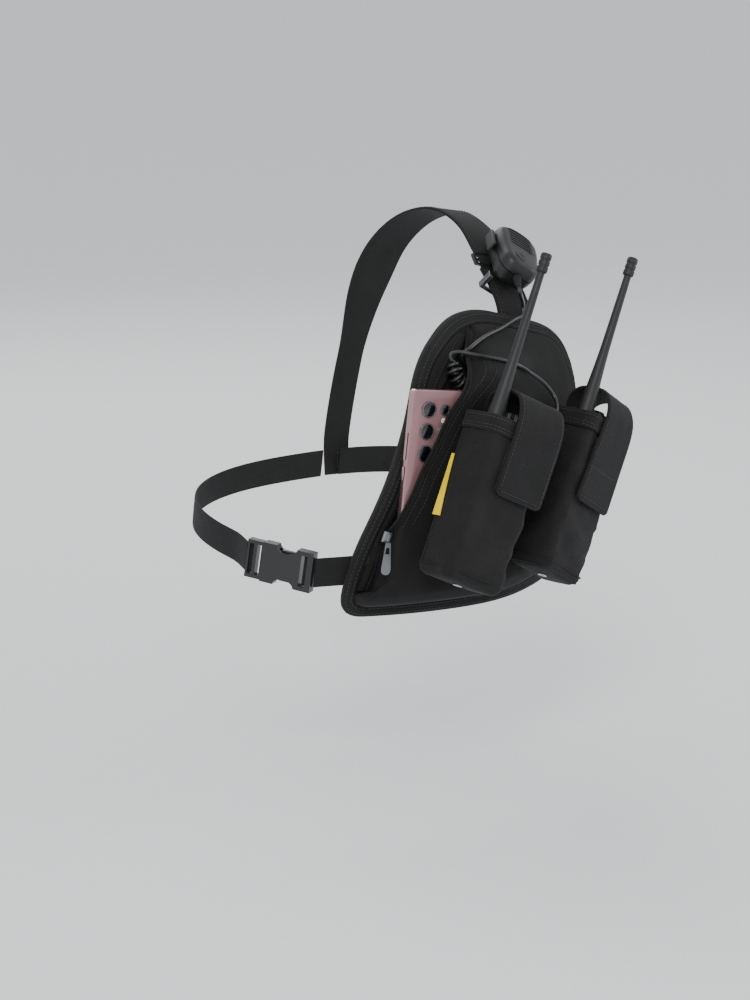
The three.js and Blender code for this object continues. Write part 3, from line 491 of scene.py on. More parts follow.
def binding():
    section = [(-10, -0.4), (-6, -0.7), (-2, -0.6), (-0.4, 0.6), (0, 2.2), (0.05, 4.4), (-0.5, 6.4),
               (-2, 7.5),
               (-6, 7.7), (-9.4, 7.5), (-10, 7.0), (-10, 6.5), (-2.2, 6.3), (-1.3, 5.2), (-1.3, 1.6), (-2.2,
                       0.5), (-10, 0.5)]
    section = [(a, max(b, -0.5)) for a, b in section]
    loops = [offset_outline(OUTLINE, away) for away, _ in section]
    rings, uv, run = [], [], 0.0
    for i in range(len(OUTLINE)):
        pucker = 0.12 * math.sin(i * 1.9) + ruffle(i * 3, 0, 0.15, 9)
        rings.append([on_chest(loops[k][i].x, loops[k][i].y, lift + (pucker if 6.6 < lift else 0))
                      for k, (_, lift) in enumerate(section)])
        uv += [(run, k * 1.6) for k in range(len(section))]
        run += (OUTLINE[(i + 1) % len(OUTLINE)] - OUTLINE[i]).length
    add("bound_edge", loft(rings, closed=True), "harness", TAPE, 50, uv, ("edge_binding",))
    parts = []
    for away in (-3.2, -7.8):
        loop = offset_outline(OUTLINE, away)
        line = [on_chest(p.x, p.y, 7.75) for p in loop + loop[:1]]
        parts.append(stitches(line, [chest_normal(p.x, p.y) for p in loop + loop[:1]]))
    add("edge_stitching", merged(parts), "harness", THREAD)


binding()

# ---- zipped pocket: the tables repeat the part's own ----
ZIP_EDGE = [(10, 184, 8.8), (-5, 168, 14), (-18, 154.5, 28), (-30, 142.5, 33.4), (-43, 125.5, 28),
            (-56, 103, 24.5),
            (-68, 82, 22), (-77, 62, 21.2), (-86.5, 45, 21.5), (-91.8, 32, 14), (-94.5, 18, 8.8),
            (-98, -2, 8.8), (-102, -16, 8.8)]
FLAT_HALF = [(3, 181, 7), (-16.5, 162.5, 7), (-39.4, 138.5, 7), (-59.4, 107.5, 7), (-75, 76.5, 7),
             (-85.4, 49.8, 7),
             (-93.8, 32, 7), (-98.6, 18, 7), (-103.6, -2, 7), (-107.6, -16, 7)]
POCKET_HEIGHTS = [(-60, 8), (-17, 26.6), (20, 21.4), (50, 19.2), (80, 19.4), (110, 23.2), (130, 28.4),
                  (150, 35),
                  (157, 34.5), (175, 13), (200, 8)]


def pocket_lift(u, z):
    for (z0, a), (z1, b) in zip(POCKET_HEIGHTS, POCKET_HEIGHTS[1:]):
        if z <= z1:
            full = a + (b - a) * (z - z0) / (z1 - z0)
            break
    full += min((u + 45) ** 2, 1500) / 800
    beside = max(u + 1, 0) / 58
    return COVER_BASE + (full - COVER_BASE) * math.exp(-beside ** 2)


def beside_line(line, distance):
    moved = []
    for i, p in enumerate(line):
        along = heading(line, i)
        moved.append(Vector((p.x - along.y * distance, p.y + along.x * distance, p.z)))
    return moved


zip_line = catmull(ZIP_EDGE, 110)
flat_line = catmull(FLAT_HALF, 96)
cover = offset_outline(OUTLINE, -10.3)


def pocket_outline():
    seam = beside_line(zip_line, 2.9)
    flat = [level(p) for p in cover]
    near = lambda q: min(range(len(flat)), key=lambda i: (flat[i] - level(q)).length)
    first, last = near(seam[0]), near(seam[-1])
    count = len(flat)
    down = [(first - k) % count for k in range(1, (first - last) % count)]
    up = [(first + k) % count for k in range(1, (last - first) % count)]
    around = max((down, up), key=lambda run: max(flat[i].x for i in run))
    edge = [(flat[i], COVER_BASE) for i in around]
    edge += [(level(p), q.z - 1.4) for p, q in zip(reversed(seam), reversed(zip_line))]
    return edge


def pocket_front():
    edge = pocket_outline()

    def faces_at(u, z, f, i):
        lift = pocket_lift(u, z)
        lift += (edge[i][1] - lift) * f ** 60
        calm = (1 - f ** 12) * (0.35 if u < 4 else 1.0)
        crease = ruffle(u, z, 0.5, 26, 3) + ruffle(u + z, (u - z) / 4, 0.5, 22, 8)
        top = lift + SHEET - 0.2 + calm * min(max(crease, -0.7), 0.9)
        return lift + 0.1 * calm, top

    chest_sheet("pocket_cover", [p for p, _ in edge], (0, 72), 30, faces_at, NYLON, "pocket_front")
    parts = []
    for away in (5.0, 12.5):
        line = beside_line(zip_line, away)[2:-3]
        spots = [(p, 0.3 + max(pocket_lift(p.x, p.y), 0) if 30 < p.y < 172 else p.z + 0.6) for p in line]
        kept = [(p, lift) for p, lift in spots if 38 < p.y < 168]
        parts.append(stitches([on_chest(p.x, p.y, lift + SHEET - 0.1) for p, lift in kept],
                              [chest_normal(p.x, p.y) for p, _ in kept], 3.0, 2.2, 0.3))
    add("pocket_stitching", merged(parts), "harness", THREAD)


pocket_front()


def chest_tape(name, line, left, right, below, above, material, node_name):
    rings, uv, run = [], [], 0.0
    for i, p in enumerate(line):
        along = heading(line, i)
        spots = [(left, below), (right, below), (right, above), ((left + right) / 2, above + 0.05),
                 (left, above)]
        rings.append([on_chest(p.x - along.y * s, p.y + along.x * s, p.z + h) for s, h in spots])
        uv += [(s, run) for s, _ in spots]
        run += (line[min(i + 1, len(line) - 1)] - p).length
    add(name, loft(rings), "harness", material, 50, uv, (node_name,))


def zip_teeth(name, line, away, lift, clip):
    """One small moulded loop after another along the tape's edge."""
    parts = []
    for i, p in enumerate(respaced(line, int(sum((b - a).length for a, b in zip(line, line[1:])) / 1.5))):
        if not clip(p):
            continue
        near = min(range(len(line)), key=lambda k: (line[k] - p).length)
        along = heading(line, near)
        a = on_chest(p.x - along.y * (away - 1.1), p.y + along.x * (away - 1.1), p.z + lift)
        b = on_chest(p.x - along.y * (away + 1.1), p.y + along.x * (away + 1.1), p.z + lift)
        up = chest_normal(p.x, p.y)
        parts.append(tube_mesh([a, a + up * 0.7, (a + b) / 2 + up * 0.95, b + up * 0.7, b], 0.42, 6))
    add(name, merged(parts), "harness", SATIN)


chest_tape("zip_tape_right", zip_line, -2.5, 2.5, 0.4, 1.4, TAPE, "zip_half_right")
chest_tape("zip_tape_left", flat_line, -2.5, 2.5, 0.1, 1.3, TAPE, "zip_half_left")
zip_teeth("zip_teeth_right", zip_line, -1.2, 1.2, lambda p: True)
zip_teeth("zip_teeth_left", flat_line, 1.2, 1.1, lambda p: p.y > 22)


def side_strip():
    rings, outer_line = [], []
    for p in flat_line:
        outer = min(cover, key=lambda q: (q - level(p)).length)
        if (outer - level(p)).length < 4.9:
            continue
        reach = outer - level(p)
        inner = level(p) + reach.normalized() * 3.0
        middle = inner.lerp(outer, 0.5)
        tops = [(outer, 8.3), (middle, 8.8), (inner, 8.3)]
        rings.append([on_chest(outer.x, outer.y, 7.1), on_chest(inner.x, inner.y, 7.1)]
                     + [on_chest(q.x, q.y, h) for q, h in reversed(tops)])
        outer_line.append(inner.lerp(outer, 0.25))
    add("zip_side_cloth", loft(rings), "harness", NYLON, 60, None, ("zip_side_strip",))
    line = [on_chest(q.x, q.y, 8.75) for q in outer_line]
    add("zip_side_stitching", stitches(line, [chest_normal(q.x, q.y) for q in outer_line], 3.0, 2.2, 0.3),
        "harness", THREAD)


side_strip()


# ---- hard pieces keep the CAD's shape, with softened edges ----
def hard(node_name, name, body, material, bevel=0.5, segments=2, angle=35.0):
    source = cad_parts[node_name]
    mesh = source.data.copy()
    mesh.materials.clear()
    made = placed(name, mesh)
    edit = bmesh.new()
    edit.from_mesh(mesh)
    bmesh.ops.remove_doubles(edit, verts=edit.verts, dist=2e-6)
    bmesh.ops.dissolve_limit(edit, angle_limit=math.radians(1.5), verts=edit.verts, edges=edit.edges)
    edit.to_mesh(mesh)
    edit.free()
    mesh.materials.append(material)
    if bevel:
        rounding = made.modifiers.new("rounding", "BEVEL")
        rounding.width = bevel * MM
        rounding.segments = segments
        rounding.limit_method = "ANGLE"
        rounding.angle_limit = math.radians(angle)
        rounding.harden_normals = False
    mesh.polygons.foreach_set("use_smooth", [True] * len(mesh.polygons))
    mesh.set_sharp_from_angle(angle=math.radians(angle))
    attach(made, body)
    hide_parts(node_name)
    return made


class Seat:
    """A local frame: x across, y back, z along the length, with its origin in mm."""

    def __init__(self, origin, turning):
        self.origin, self.turning = Vector(origin), turning

    def at(self, x, y, z):
        return self.origin + self.turning @ Vector((x, y, z))

    def turn(self, x, y, z):
        return self.turning @ Vector((x, y, z))


def standing(origin, yaw, tilt, lean):
    """The part's own way to place a group: tilt, then lean, then yaw."""
    turns = [Matrix.Rotation(math.radians(a), 3, axis) for a, axis in ((yaw, "Z"), (lean, "X"), (tilt, "Y"))]
    return Seat(origin, turns[0] @ turns[1] @ turns[2])


def facing_seat(origin, across, outward):
    """A frame whose front looks along outward and whose width lies along across."""
    across = Vector(across).normalized()
    outward = Vector(outward)
    outward = (outward - across * outward.dot(across)).normalized()
    return Seat(origin, Matrix((across, -outward, outward.cross(across))).transposed())


SEATS = {"left": standing(on_chest(-28, 67.3, 28), -1.3, 25, -2.4),
         "right": standing(on_chest(67, 57.5, 20), 14.3, 27.4, 2.8)}
FLAPS = {"left": (-12.8, 38.4, -12, -5), "right": (-25, 30.6, -9.5, -17)}
POUCH_W, POUCH_D, POUCH_LOW, POUCH_TOP, HEM = 64, 40, -80, 55, 14


def rounded_ring(x, y, radius, centre_y, steps=8, flats=5):
    ring = []
    for sx, sy, start in ((1, 1, 0), (-1, 1, 90), (-1, -1, 180), (1, -1, 270)):
        for k in range(steps + 1):
            a = math.radians(start + 90 * k / steps)
            ring.append(Vector((sx * (x / 2 - radius) + radius * math.cos(a), centre_y
                                + sy * (y / 2 - radius) + radius * math.sin(a), 0)))
    filled = []
    for i, p in enumerate(ring):
        nxt = ring[(i + 1) % len(ring)]
        filled.append(p)
        if (nxt - p).length > radius * 0.6:
            filled += [p.lerp(nxt, k / (flats + 1)) for k in range(1, flats + 1)]
    return filled


def pouch(side):
    seat = SEATS[side]
    seed = 4.0 if side == "left" else 9.0
    outer, heights = [], []
    for k in range(64):
        t = k / 63
        z = POUCH_LOW + (POUCH_TOP - POUCH_LOW) * t
        low = clamp((z - POUCH_LOW) / 6)
        inset = 5 * (1 - math.sin(low * math.pi / 2))
        ring = rounded_ring(POUCH_W - 2 * inset, POUCH_D - 2 * inset, 8 if low > 0.4 else 6, -POUCH_D / 2)
        centre = Vector((0, -POUCH_D / 2, 0))
        shaped = []
        for p in ring:
            away = (p - centre).normalized()
            front = clamp((-p.y - 3) / 20)
            fold = ruffle(p.x * 0.8 + p.y, z, 2.3, 26, seed) + ruffle((p.x + z) * 0.6, z - p.x, 1.2, 13, seed
                    + 2)
            bag = 0.8 * math.sin(math.pi * clamp((z + 70) / 110)) * front
            foot = math.exp(-((z + 62) / 16) ** 2) * 1.1 * noise.noise(Vector((p.x / 7, z / 13, seed)))
            move = min(max((fold + foot) * front * (1 - t ** 10) + bag, -1.9), 2.9)
            q = p + away * move
            shaped.append(seat.at(q.x, q.y, z))
        outer.append(shaped)
        heights.append(z)
    inner = []
    for z in (POUCH_TOP, 40, 10, -30, -70, -78):
        inner.append([seat.at(p.x, p.y, z) for p in rounded_ring(POUCH_W - 3.0, POUCH_D - 3.0, 6.6,
                -POUCH_D / 2)])
    add(f"{side}_pouch_cloth", loft([*outer, *inner]), "harness", POUCH, 60, None,
        (f"{side}_pouch",))
    seam_parts = []
    for sign in (-1, 1):
        line = [seat.at(sign * (POUCH_W / 2 + 0.25), -7, z) for z in range(-70, 40, 4)]
        seam_parts.append(tube_mesh(line, 0.55, 8))
    ring = [seat.at(p.x * 1.005, p.y, -72) for p in rounded_ring(POUCH_W + 0.6, POUCH_D + 0.6, 8,
            -POUCH_D / 2)]
    seam_parts.append(tube_mesh([*ring, ring[0]], 0.5, 8))
    add(f"{side}_pouch_seams", merged(seam_parts), "harness", POUCH)


def hem(side):
    seat = SEATS[side]
    low = POUCH_TOP - HEM
    profile = [(0.5, low + 0.1), (1.0, low - 0.05), (1.45, low + 0.5), (1.5, low + 3), (1.4, POUCH_TOP - 7),
               (1.5, POUCH_TOP - 1.4),
               (1.2, POUCH_TOP - 0.2), (0.7, POUCH_TOP + 0.1), (0.5, POUCH_TOP - 0.6)]
    rings = []
    for away, z in profile:
        wave = lambda p: 0.2 * math.sin(p.x / 3.1 + z / 4)
        rings.append([seat.at(p.x, p.y, z + (wave(p) if z < POUCH_TOP - 2 else 0))
                      for p in rounded_ring(POUCH_W + 2 * away, POUCH_D + 2 * away, 8 + away, -POUCH_D / 2)])
    add(f"{side}_hem_band", loft(rings, closed=True), "harness", POUCH, 50, None,
        (f"{side}_pouch_hem",))
    parts = []
    for z in (low + 2.2, low + 4.6, POUCH_TOP - 2.6):
        ring = rounded_ring(POUCH_W + 3.0, POUCH_D + 3.0, 9.4, -POUCH_D / 2)
        centre = Vector((0, -POUCH_D / 2, 0))
        line = [seat.at(p.x, p.y, z) for p in [*ring, ring[0]]]
        normals = [seat.turn(*(p - centre).normalized()) for p in [*ring, ring[0]]]
        parts.append(stitches(line, normals, 3.2, 2.4, 0.32, 0.0))
    add(f"{side}_hem_stitching", merged(parts), "harness", THREAD)


def flap(side):
    seat = SEATS[side]
    left, right, crest_left, foot = FLAPS[side]
    front, crest = -POUCH_D - 2.2, POUCH_TOP + 24
    line = [(-0.6, POUCH_TOP + 0.6), (-1.6, crest - 8), (-8.5, crest - 1.6), (-22, crest - 0.2),
            (-34, crest - 3.2),
            (front + 1.8, crest - 12), (front - 0.9, POUCH_TOP + 1), (front - 0.9, 20), (front - 0.2, foot
                    + 0.3)]
    path = catmull([(0, y, z) for y, z in line], 64)
    share = catmull([(s, 0, 0) for s in (0, 0.001, 0.02, 0.12, 0.5, 0.86, 1, 1.001, 1.002)], 64)
    rings, sides = [], ([], [])
    for i, p in enumerate(path):
        along = tangent(path, i)
        out = Vector((0, along.z, -along.y))
        k = clamp(share[i].x)
        lo, hi = crest_left + (left - crest_left) * k, right
        end = max(0.0, 1 - (path[-1] - p).length / 5.0)
        pull = 4.0 * (1 - math.sqrt(max(0.0, 1 - end ** 2)))
        lo, hi = lo + pull, hi - pull
        ring = []
        spots = [lo, lo + 0.5, *(lo + (hi - lo) * s / 14 for s in range(1, 14)), hi - 0.5, hi]
        for x in spots:
            edge = min(x - lo, hi - x)
            swell = 0.25 * min(edge / 4, 1) + ruffle(x, i * 2.2, 0.22, 15, 5) * min(edge / 5, 1)
            thick = 2.0 * min(0.35 + edge / 0.9, 1)
            ring.append((x, p, out, thick + swell))
        upper = [seat.at(x, q.y + o.y * t, q.z + o.z * t) for x, q, o, t in ring]
        lower = [seat.at(x, q.y + o.y * 0.15, q.z + o.z * 0.15) for x, q, o, _ in reversed(ring)]
        rings.append(upper + lower)
        for n, inset in enumerate((lo + 3.0, hi - 3.0)):
            sides[n].append((seat.at(inset, p.y + out.y * 2.25, p.z + out.z * 2.25), seat.turn(*out)))
    cloth = add(f"{side}_flap_cloth", loft(rings), None, POUCH, 60, None, (f"{side}_flap",))
    seat.at(0, -0.5, 56) * MM
    seat.at(0, -2.5, 74) * MM
    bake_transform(cloth)
    parts = [stitches([p for p, _ in rows[3:-3]], [n for _, n in rows[3:-3]], 3.2, 2.4, 0.32)
             for rows in sides]
    for up in (4, 30):
        z = foot + up
        y = front - 0.75 - 2.15
        run = [seat.at(left + 4 + (right - left - 8) * s / 10, y, z) for s in range(11)]
        parts.append(stitches(run, [seat.turn(0, -1, 0)] * 11, 3.2, 2.4, 0.32))
    thread = add(f"{side}_flap_stitching", merged(parts), None, THREAD)
    seat.at(0, -0.5, 56) * MM
    seat.at(0, -2.5, 74) * MM
    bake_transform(thread)


def patch(side):
    seat = SEATS[side]
    left, right, _, foot = FLAPS[side]
    height = POUCH_TOP - HEM - 0.4 - foot - 6
    middle_z = foot + 3 + height / 2
    middle_x = (max(left, -23) + min(right, 23)) / 2
    front = -POUCH_D - 0.4
    rows = []
    for j in range(21):
        z = middle_z + (j / 20 - 0.5) * height
        top = [seat.at(middle_x + (i / 16 - 0.5) * 34,
                       front - 0.95 - 0.15 * noise.noise(Vector((i * 1.3, j * 1.3,
                               2))), z) for i in range(17)]
        low = [seat.at(middle_x + (i / 16 - 0.5) * 34, front - 0.02, z) for i in reversed(range(17))]
        rows.append(top + low)
    add(f"{side}_loop_pile", loft(rows), "harness", PILE, 60, None, (f"{side}_loop_patch",))


def lathe(seat_at, profile, sides=32, flute=0.0, flutes=24):
    rings = []
    for r, z in profile:
        ring = []
        for k in range(sides):
            a = 2 * math.pi * k / sides
            q = r * (1 - flute * (0.5 + 0.5 * math.cos(flutes * a))) if r > 0.01 else 0.01
            ring.append(seat_at(q * math.cos(a), q * math.sin(a), z))
        rings.append(ring)
    return loft(rings)


def radio(side):
    seat = SEATS[side]
    body = f"{side}_radio"
    hard(f"{side}_radio_case", f"{side}_radio_shell", body, PLASTIC, 1.0, 3)
    hard(f"{side}_radio_battery", f"{side}_battery_pack", body, PLASTIC, 0.8)
    hard(f"{side}_radio_ptt_key", f"{side}_talk_key", f"{side}_ptt_key", RUBBER, 0.5, 3)
    top, case_y = 50.0, -2.6 - 13.4 - 9.8
    foot = top + 0.4
    x0 = -28 + 7.2
    profile = [(0, 0), (6.6, 0), (7.2, 0.6), (7.2, 7), (6.9, 9), (6.2, 18), (5.6, 26), (5.1, 34), (4.5, 46),
               (3.95, 60), (3.5, 90),
               (3.05, 125.6), (4.3, 126.4), (4.6, 127.2), (4.6, 130.4), (4.1, 131), (4.1, 131.8), (4.6,
                       132.4), (4.6, 135.4),
               (4.1, 136), (4.1, 136.8), (4.6, 137.4), (4.6, 140.6), (4.0, 141.7), (2.4, 142), (0, 142)]
    add(f"{side}_whip_antenna", lathe(lambda x, y, z: seat.at(x0 + x, case_y + 0.6 + y, foot + z), profile),
        body, RUBBER, 30, None, (f"{side}_radio_antenna",))
    knob_profile = [(0, 0), (6.2, 0), (6.3, 0.8), (5.9, 1.4), (5.9, 2.2), (6.5, 2.8), (6.5, 10.4),
                    (6.0, 11.6), (4.8, 12), (3.6, 11.7), (0, 11.7)]
    for kind, x in (("channel", -3), ("volume", 11.6)):
        add(f"{side}_{kind}_dial", lathe(lambda a, b, z: seat.at(x + a, case_y + b, foot + z), knob_profile,
                                         96, 0.07), f"{side}_{kind}_knob", PLASTIC, 30, None,
                                         (f"{side}_radio_{kind}_knob",))
        mark = [seat.at(x + a, case_y + b, foot + 12.02) for a,
                b in ((-0.4, -5.6), (0.4, -5.6), (0.4, -2.6), (-0.4, -2.6))]
        low = [seat.at(x + a, case_y + b, foot + 11.6) for a,
               b in ((-0.4, -5.6), (0.4, -5.6), (0.4, -2.6), (-0.4, -2.6))]
        add(f"{side}_{kind}_mark", loft([low, mark]), f"{side}_{kind}_knob", STEEL)


for side in SEATS:
    pouch(side)
    hem(side)
    flap(side)
    patch(side)
    radio(side)
    hard(f"{side}_drain_eyelet", f"{side}_eyelet", "harness", STEEL, 0.2)


# ---- yellow woven label in the left pouch's seam ----
def label():
    seat = SEATS["left"]
    rings = []
    for k in range(19):
        t = k / 18
        z = 19 - 1.2 - 51 * t
        wide = 3 + 6 * t
        x = -POUCH_W / 2 - 0.45
        bow = 0.5 * math.sin(math.pi * t)
        row = [(3 + wide * s / 6) for s in range(7)]
        rings.append([seat.at(x - 0.72 - bow * s / 6, -row[s], z) for s in range(7)]
                     + [seat.at(x - bow * s / 6, -row[s], z) for s in reversed(range(7))])
    add("seam_label", loft(rings), "harness", YELLOW, 50, None, ("side_tag",))


label()

# ---- phone ----
PHONE = standing((-46, -128.2, 64.8), -9, 6.5, 0)


def phone():
    depth = 8.9

    def ring(w, h, r, y):
        return [PHONE.at(p.x, y, p.y) for p in rounded_ring(w, h, r, 0, 8, 3)]

    sides = [ring(74.6, 158.6, 2.6, -0.9), ring(75.6, 159.6, 3, -1.5), ring(76, 160, 3.2, -3.4),
             ring(76, 160, 3.2, -6),
             ring(75.6, 159.6, 3.1, -7.8), ring(74.8, 158.8, 2.9, -8.4)]
    add("phone_frame", loft(sides), "phone", ROSE_EDGE, 40, None, ("phone_body",))
    add("phone_back", loft([ring(74.4, 158.4, 2.7, -8.2), ring(74.4, 158.4, 2.7, -8.62),
                            ring(73.6, 157.6, 2.5, -8.88), ring(60, 144, 2,
                                    -8.9)]), "phone", ROSE)
    hard("phone_screen", "phone_glass", "phone", GLASS, 0.2)
    hard("phone_volume_key", "phone_long_key", "phone_volume_key", ROSE_EDGE, 0.2)
    hard("phone_power_key", "phone_short_key", "phone_power_key", ROSE_EDGE, 0.2)
    big_x, top_z, pitch = -23, 64.5, 17.8
    lenses = [(big_x, top_z, 6.6), (big_x, top_z - pitch, 6.6), (big_x, top_z - 2 * pitch, 6.6),
              (big_x + 15, top_z, 4.4), (big_x + 15, top_z - pitch, 4.4)]
    for n, (x, z, r) in enumerate(lenses, 1):
        at = lambda a, b, c: PHONE.at(x + a, -depth - 0.02 - c, z + b)
        ring_profile = [(r - 1.0, 0), (r, 0), (r, 1.2), (r - 0.3, 1.65), (r - 0.8, 1.65), (r - 1.0, 1.3)]
        rings = [[at(q * math.cos(2 * math.pi * k / 40), q * math.sin(2 * math.pi * k / 40), h)
                  for k in range(40)] for q, h in ring_profile]
        add(f"lens_{n}_ring", loft(rings, closed=True), "phone", GUNMETAL, 30)
        add(f"lens_{n}_glass", lathe(at, [(0, 0), (r - 1.05, 0), (r - 1.05, 1.1), (r * 0.55, 1.35),
                                          (0, 1.45)], 40), "phone", LENS, 30, None,
                                          (f"phone_lens_{n}",))
    at = lambda a, b, c: PHONE.at(big_x + 15 + a, -depth - 0.02 - c, top_z - pitch / 2 + b)
    add("phone_flash", lathe(at, [(0, 0), (2.1, 0), (2.1, 0.25), (1.6, 0.4), (0, 0.42)], 24), "phone",
        moulded("flash_lens", (0.75, 0.72, 0.6), 0.25))


phone()

# ---- speaker microphone ----
MIC = facing_seat((86, -70, 232), (0.8, -0.283, -0.534), (0.279, -0.612, 0.743))


def microphone():
    def ring(y, trim, radius):
        return [MIC.at(p.x * (0.86 + 0.14 * clamp((p.y + 12) / 18)), y, p.y)
                for p in rounded_ring(42 - trim, 58 - trim, radius, 0, 8, 4)]

    front = [ring(-13, 15, 7), ring(-12.9, 11, 8.5), ring(-12.3, 7.2, 10), ring(-11, 4, 11),
             ring(-9, 1.8, 11.5), ring(-6, 0.6, 12), ring(-2.2, 0.1, 12)]
    add("mic_front", loft(front), "harness", PLASTIC, 40, None, ("mic_front_shell",))
    rear = [ring(-1.5, 0.1, 12), ring(2, 0.8, 12), ring(6, 2.6, 11), ring(9, 5.6, 9.5), ring(11, 10, 8)]
    add("mic_rear", loft(rear), "harness", PLASTIC, 40, None, ("mic_rear_shell",))
    parts = []
    for n in range(6):
        z = 22.5 - n * 4.1
        line = []
        for k in range(15):
            x = -14 + 28 * k / 14
            bow = 2.4 * (1 - (x / 14) ** 2)
            y = -12.75 - 0.35 + 1.3 * max(abs(x) / 14 - 0.72, 0) * 4 * 0.5
            line.append(MIC.at(x, y, z + bow - 1))
        parts.append(tube_mesh(line, lambda t: 0.95 * math.sin(math.pi * min(max(t, 0.04), 0.96)) ** 0.3, 8))
    add("mic_grille_ribs", merged(parts), "harness", PLASTIC, 50)
    disc = lambda a, b, c: MIC.at(-3 + a, -12.85 - c, -15 + b)
    add("mic_jack_cover", lathe(disc, [(0, -0.6), (5.6, -0.6), (5.6, 0.4), (5.0, 0.8), (3.0, 0.8),
                                       (2.6, 0.45), (0, 0.45)], 36), "harness", RUBBER, 30)
    screw = lambda a, b, c: MIC.at(10.5 + a, -12.7 - c, -17 + b)
    add("mic_screw", lathe(screw, [(0, -0.5), (1.5, -0.5), (1.5, 0.1), (1.0, 0.25), (0.7, 0.0), (0, 0.0)],
                           20), "harness", GUNMETAL, 30)
    hard("mic_ptt_button", "mic_talk_button", "mic_button", RUBBER, 1.1, 4)
    hard("mic_clip", "mic_spring", "mic_spring_clip", GUNMETAL, 0.4)
    steps = [(0, 0), (3.7, 0)]
    for n in range(5):
        z = 1.2 + n * 2.6
        r = 3.8 - n * 0.32
        steps += [(r, z), (r, z + 1.3), (r - 0.55, z + 1.5), (r - 0.55, z + 2.3)]
    steps += [(2.1, 14.8), (1.7, 15), (0, 15)]
    add("mic_strain_relief", lathe(lambda a, b, c: MIC.at(a, -1 + b, -29.4 - c), steps, 28), "harness",
        RUBBER, 30, None, ("mic_cord_boot",))


microphone()

# ---- cord: lead and curl in one piece, then the lead to the radio ----
CURL_PATH = [(-21.5, 163, 16.4), (-22.5, 153, 16), (-17, 144.5, 14.2), (-3, 139.5, 14), (9, 129, 13.6),
             (13, 112, 13.5), (13, 94, 13.5)]
MIC_LEAD = [(72, 197, 18), (70, 190, 14.5), (60, 187.5, 13.5), (38, 183.5, 16.5), (17, 180, 19),
            (3, 176, 20.5), (-6, 172.5, 21),
            (-12, 168.5, 17.5), (-8.5, 161, 12.6), (-3, 156, 11), (6, 151, 11), (17, 143, 11), (24, 128,
                    11), (26.5, 110, 11),
            (26, 94, 11.5), (22, 86.5, 13), (16, 86, 14), (13.3, 90, 13.6), (13, 93.4, 13.5)]
RADIO_LEAD = [(-24, 165, 17), (-24.5, 169, 18), (-18, 171, 21), (-5, 168, 29), (12, 163.5, 33),
              (28, 157.5, 33),
              (44, 149, 28.5), (56, 138.5, 31), (61, 126, 35)]


CORD_RADIUS = 1.6


def cord_curve(name, points):
    data = bpy.data.curves.new(name, "CURVE")
    data.dimensions = "3D"
    data.bevel_depth = CORD_RADIUS * MM
    data.bevel_resolution = 3
    data.use_fill_caps = True
    spline = data.splines.new("POLY")
    spline.points.add(len(points) - 1)
    for spot, p in zip(spline.points, points):
        spot.co = (*(p * MM), 1)
    made = placed(name, data)
    made.data.materials.append(CORD)
    return made


def run_of(points):
    return sum((b - a).length for a, b in zip(points, points[1:])) * MM


def cords():
    lead = catmull([MIC.at(0, -1, -45.2), MIC.at(0, -1, -51), *[on_chest(*p) for p in MIC_LEAD]], 170)
    axis = catmull([on_chest(*p) for p in reversed(CURL_PATH)], 400)
    length = run_of(axis) / MM
    turns = round(length / 4.9)
    coil, normal = [], None
    for i, p in enumerate(axis):
        along = tangent(axis, i)
        normal = normal or along.orthogonal().normalized()
        normal = (normal - along * normal.dot(along)).normalized()
        t = i / (len(axis) - 1)
        r = 5.35 * min(t * turns / 0.8, (1 - t) * turns / 0.8, 1) ** 0.8
        a = 2 * math.pi * turns * t
        coil.append(p + normal * (r * math.cos(a)) + along.cross(normal) * (r * math.sin(a)))
    route = lead[:-1] + coil
    spring = cord_curve("coiled_cord", route)
    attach(spring, "harness")
    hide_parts("cord_mic_lead", "cord_curl")
    run_of(route)
    seat = SEATS["left"]
    jack = (22.6, -25.8, 50.0)
    local = [(44, jack[1] + 3, 71), (35, jack[1] + 1, 73), (27, jack[1], 72), (23, jack[1], 69),
             (22.6, jack[1], 64.8)]
    lead = catmull([coil[-1], *[on_chest(*p) for p in RADIO_LEAD], *[seat.at(*p) for p in local]], 120)
    tail = add("radio_cord", tube_mesh(lead, CORD_RADIUS, 12), None, CORD, 60, None,
               ("cord_radio_lead",))
    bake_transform(tail)
    run_of(lead)
    plug = [(0, 0), (3.0, 0), (3.0, 2), (2.6, 2.4), (2.6, 3.2), (3.0, 3.6), (3.0, 7.8), (2.2, 13.6),
            (1.7, 14), (0, 14)]
    add("radio_jack_plug", lathe(lambda a, b, c: seat.at(jack[0] + a, jack[1] + b, jack[2] + 0.4 + c), plug,
                                 28), "left_radio", RUBBER, 30, None, ("cord_radio_plug",))


cords()


# ---- straps ----
def band(name, path, across, outward, half, thick, body, material, nodes, stitch=None):
    """A woven band with rolled edges; half is the half width at each share of the length."""
    rings, uv, run = [], [], 0.0
    for i, p in enumerate(path):
        h = half(i / (len(path) - 1))
        w, n = across[i], outward[i]
        spots = [(-1, 0.5), (-0.985, 0.85), (-0.9, 1), (-0.45, 1.03), (0, 1.04), (0.45, 1.03), (0.9, 1),
                 (0.985, 0.85), (1, 0.5),
                 (0.985, 0.12), (0.5, 0.0), (-0.5, 0.0), (-0.985, 0.12)]
        rings.append([p + w * (a * h) + n * (b * thick) for a, b in spots])
        uv += [(a * h, run) for a, _ in spots]
        run += (path[min(i + 1, len(path) - 1)] - p).length
    made = add(name, loft(rings), body, material, 50, uv, nodes)
    if stitch:
        parts = []
        for inset in stitch:
            for sign in (-1, 1):
                line = [p + across[i] * (sign * (half(i / (len(path) - 1)) - inset))
                        + outward[i] * (thick * 1.02) for i, p in enumerate(path)]
                parts.append(stitches(line, outward, 3.4, 2.5, 0.32))
        add(name + "_stitching", merged(parts), body, THREAD)
    return made


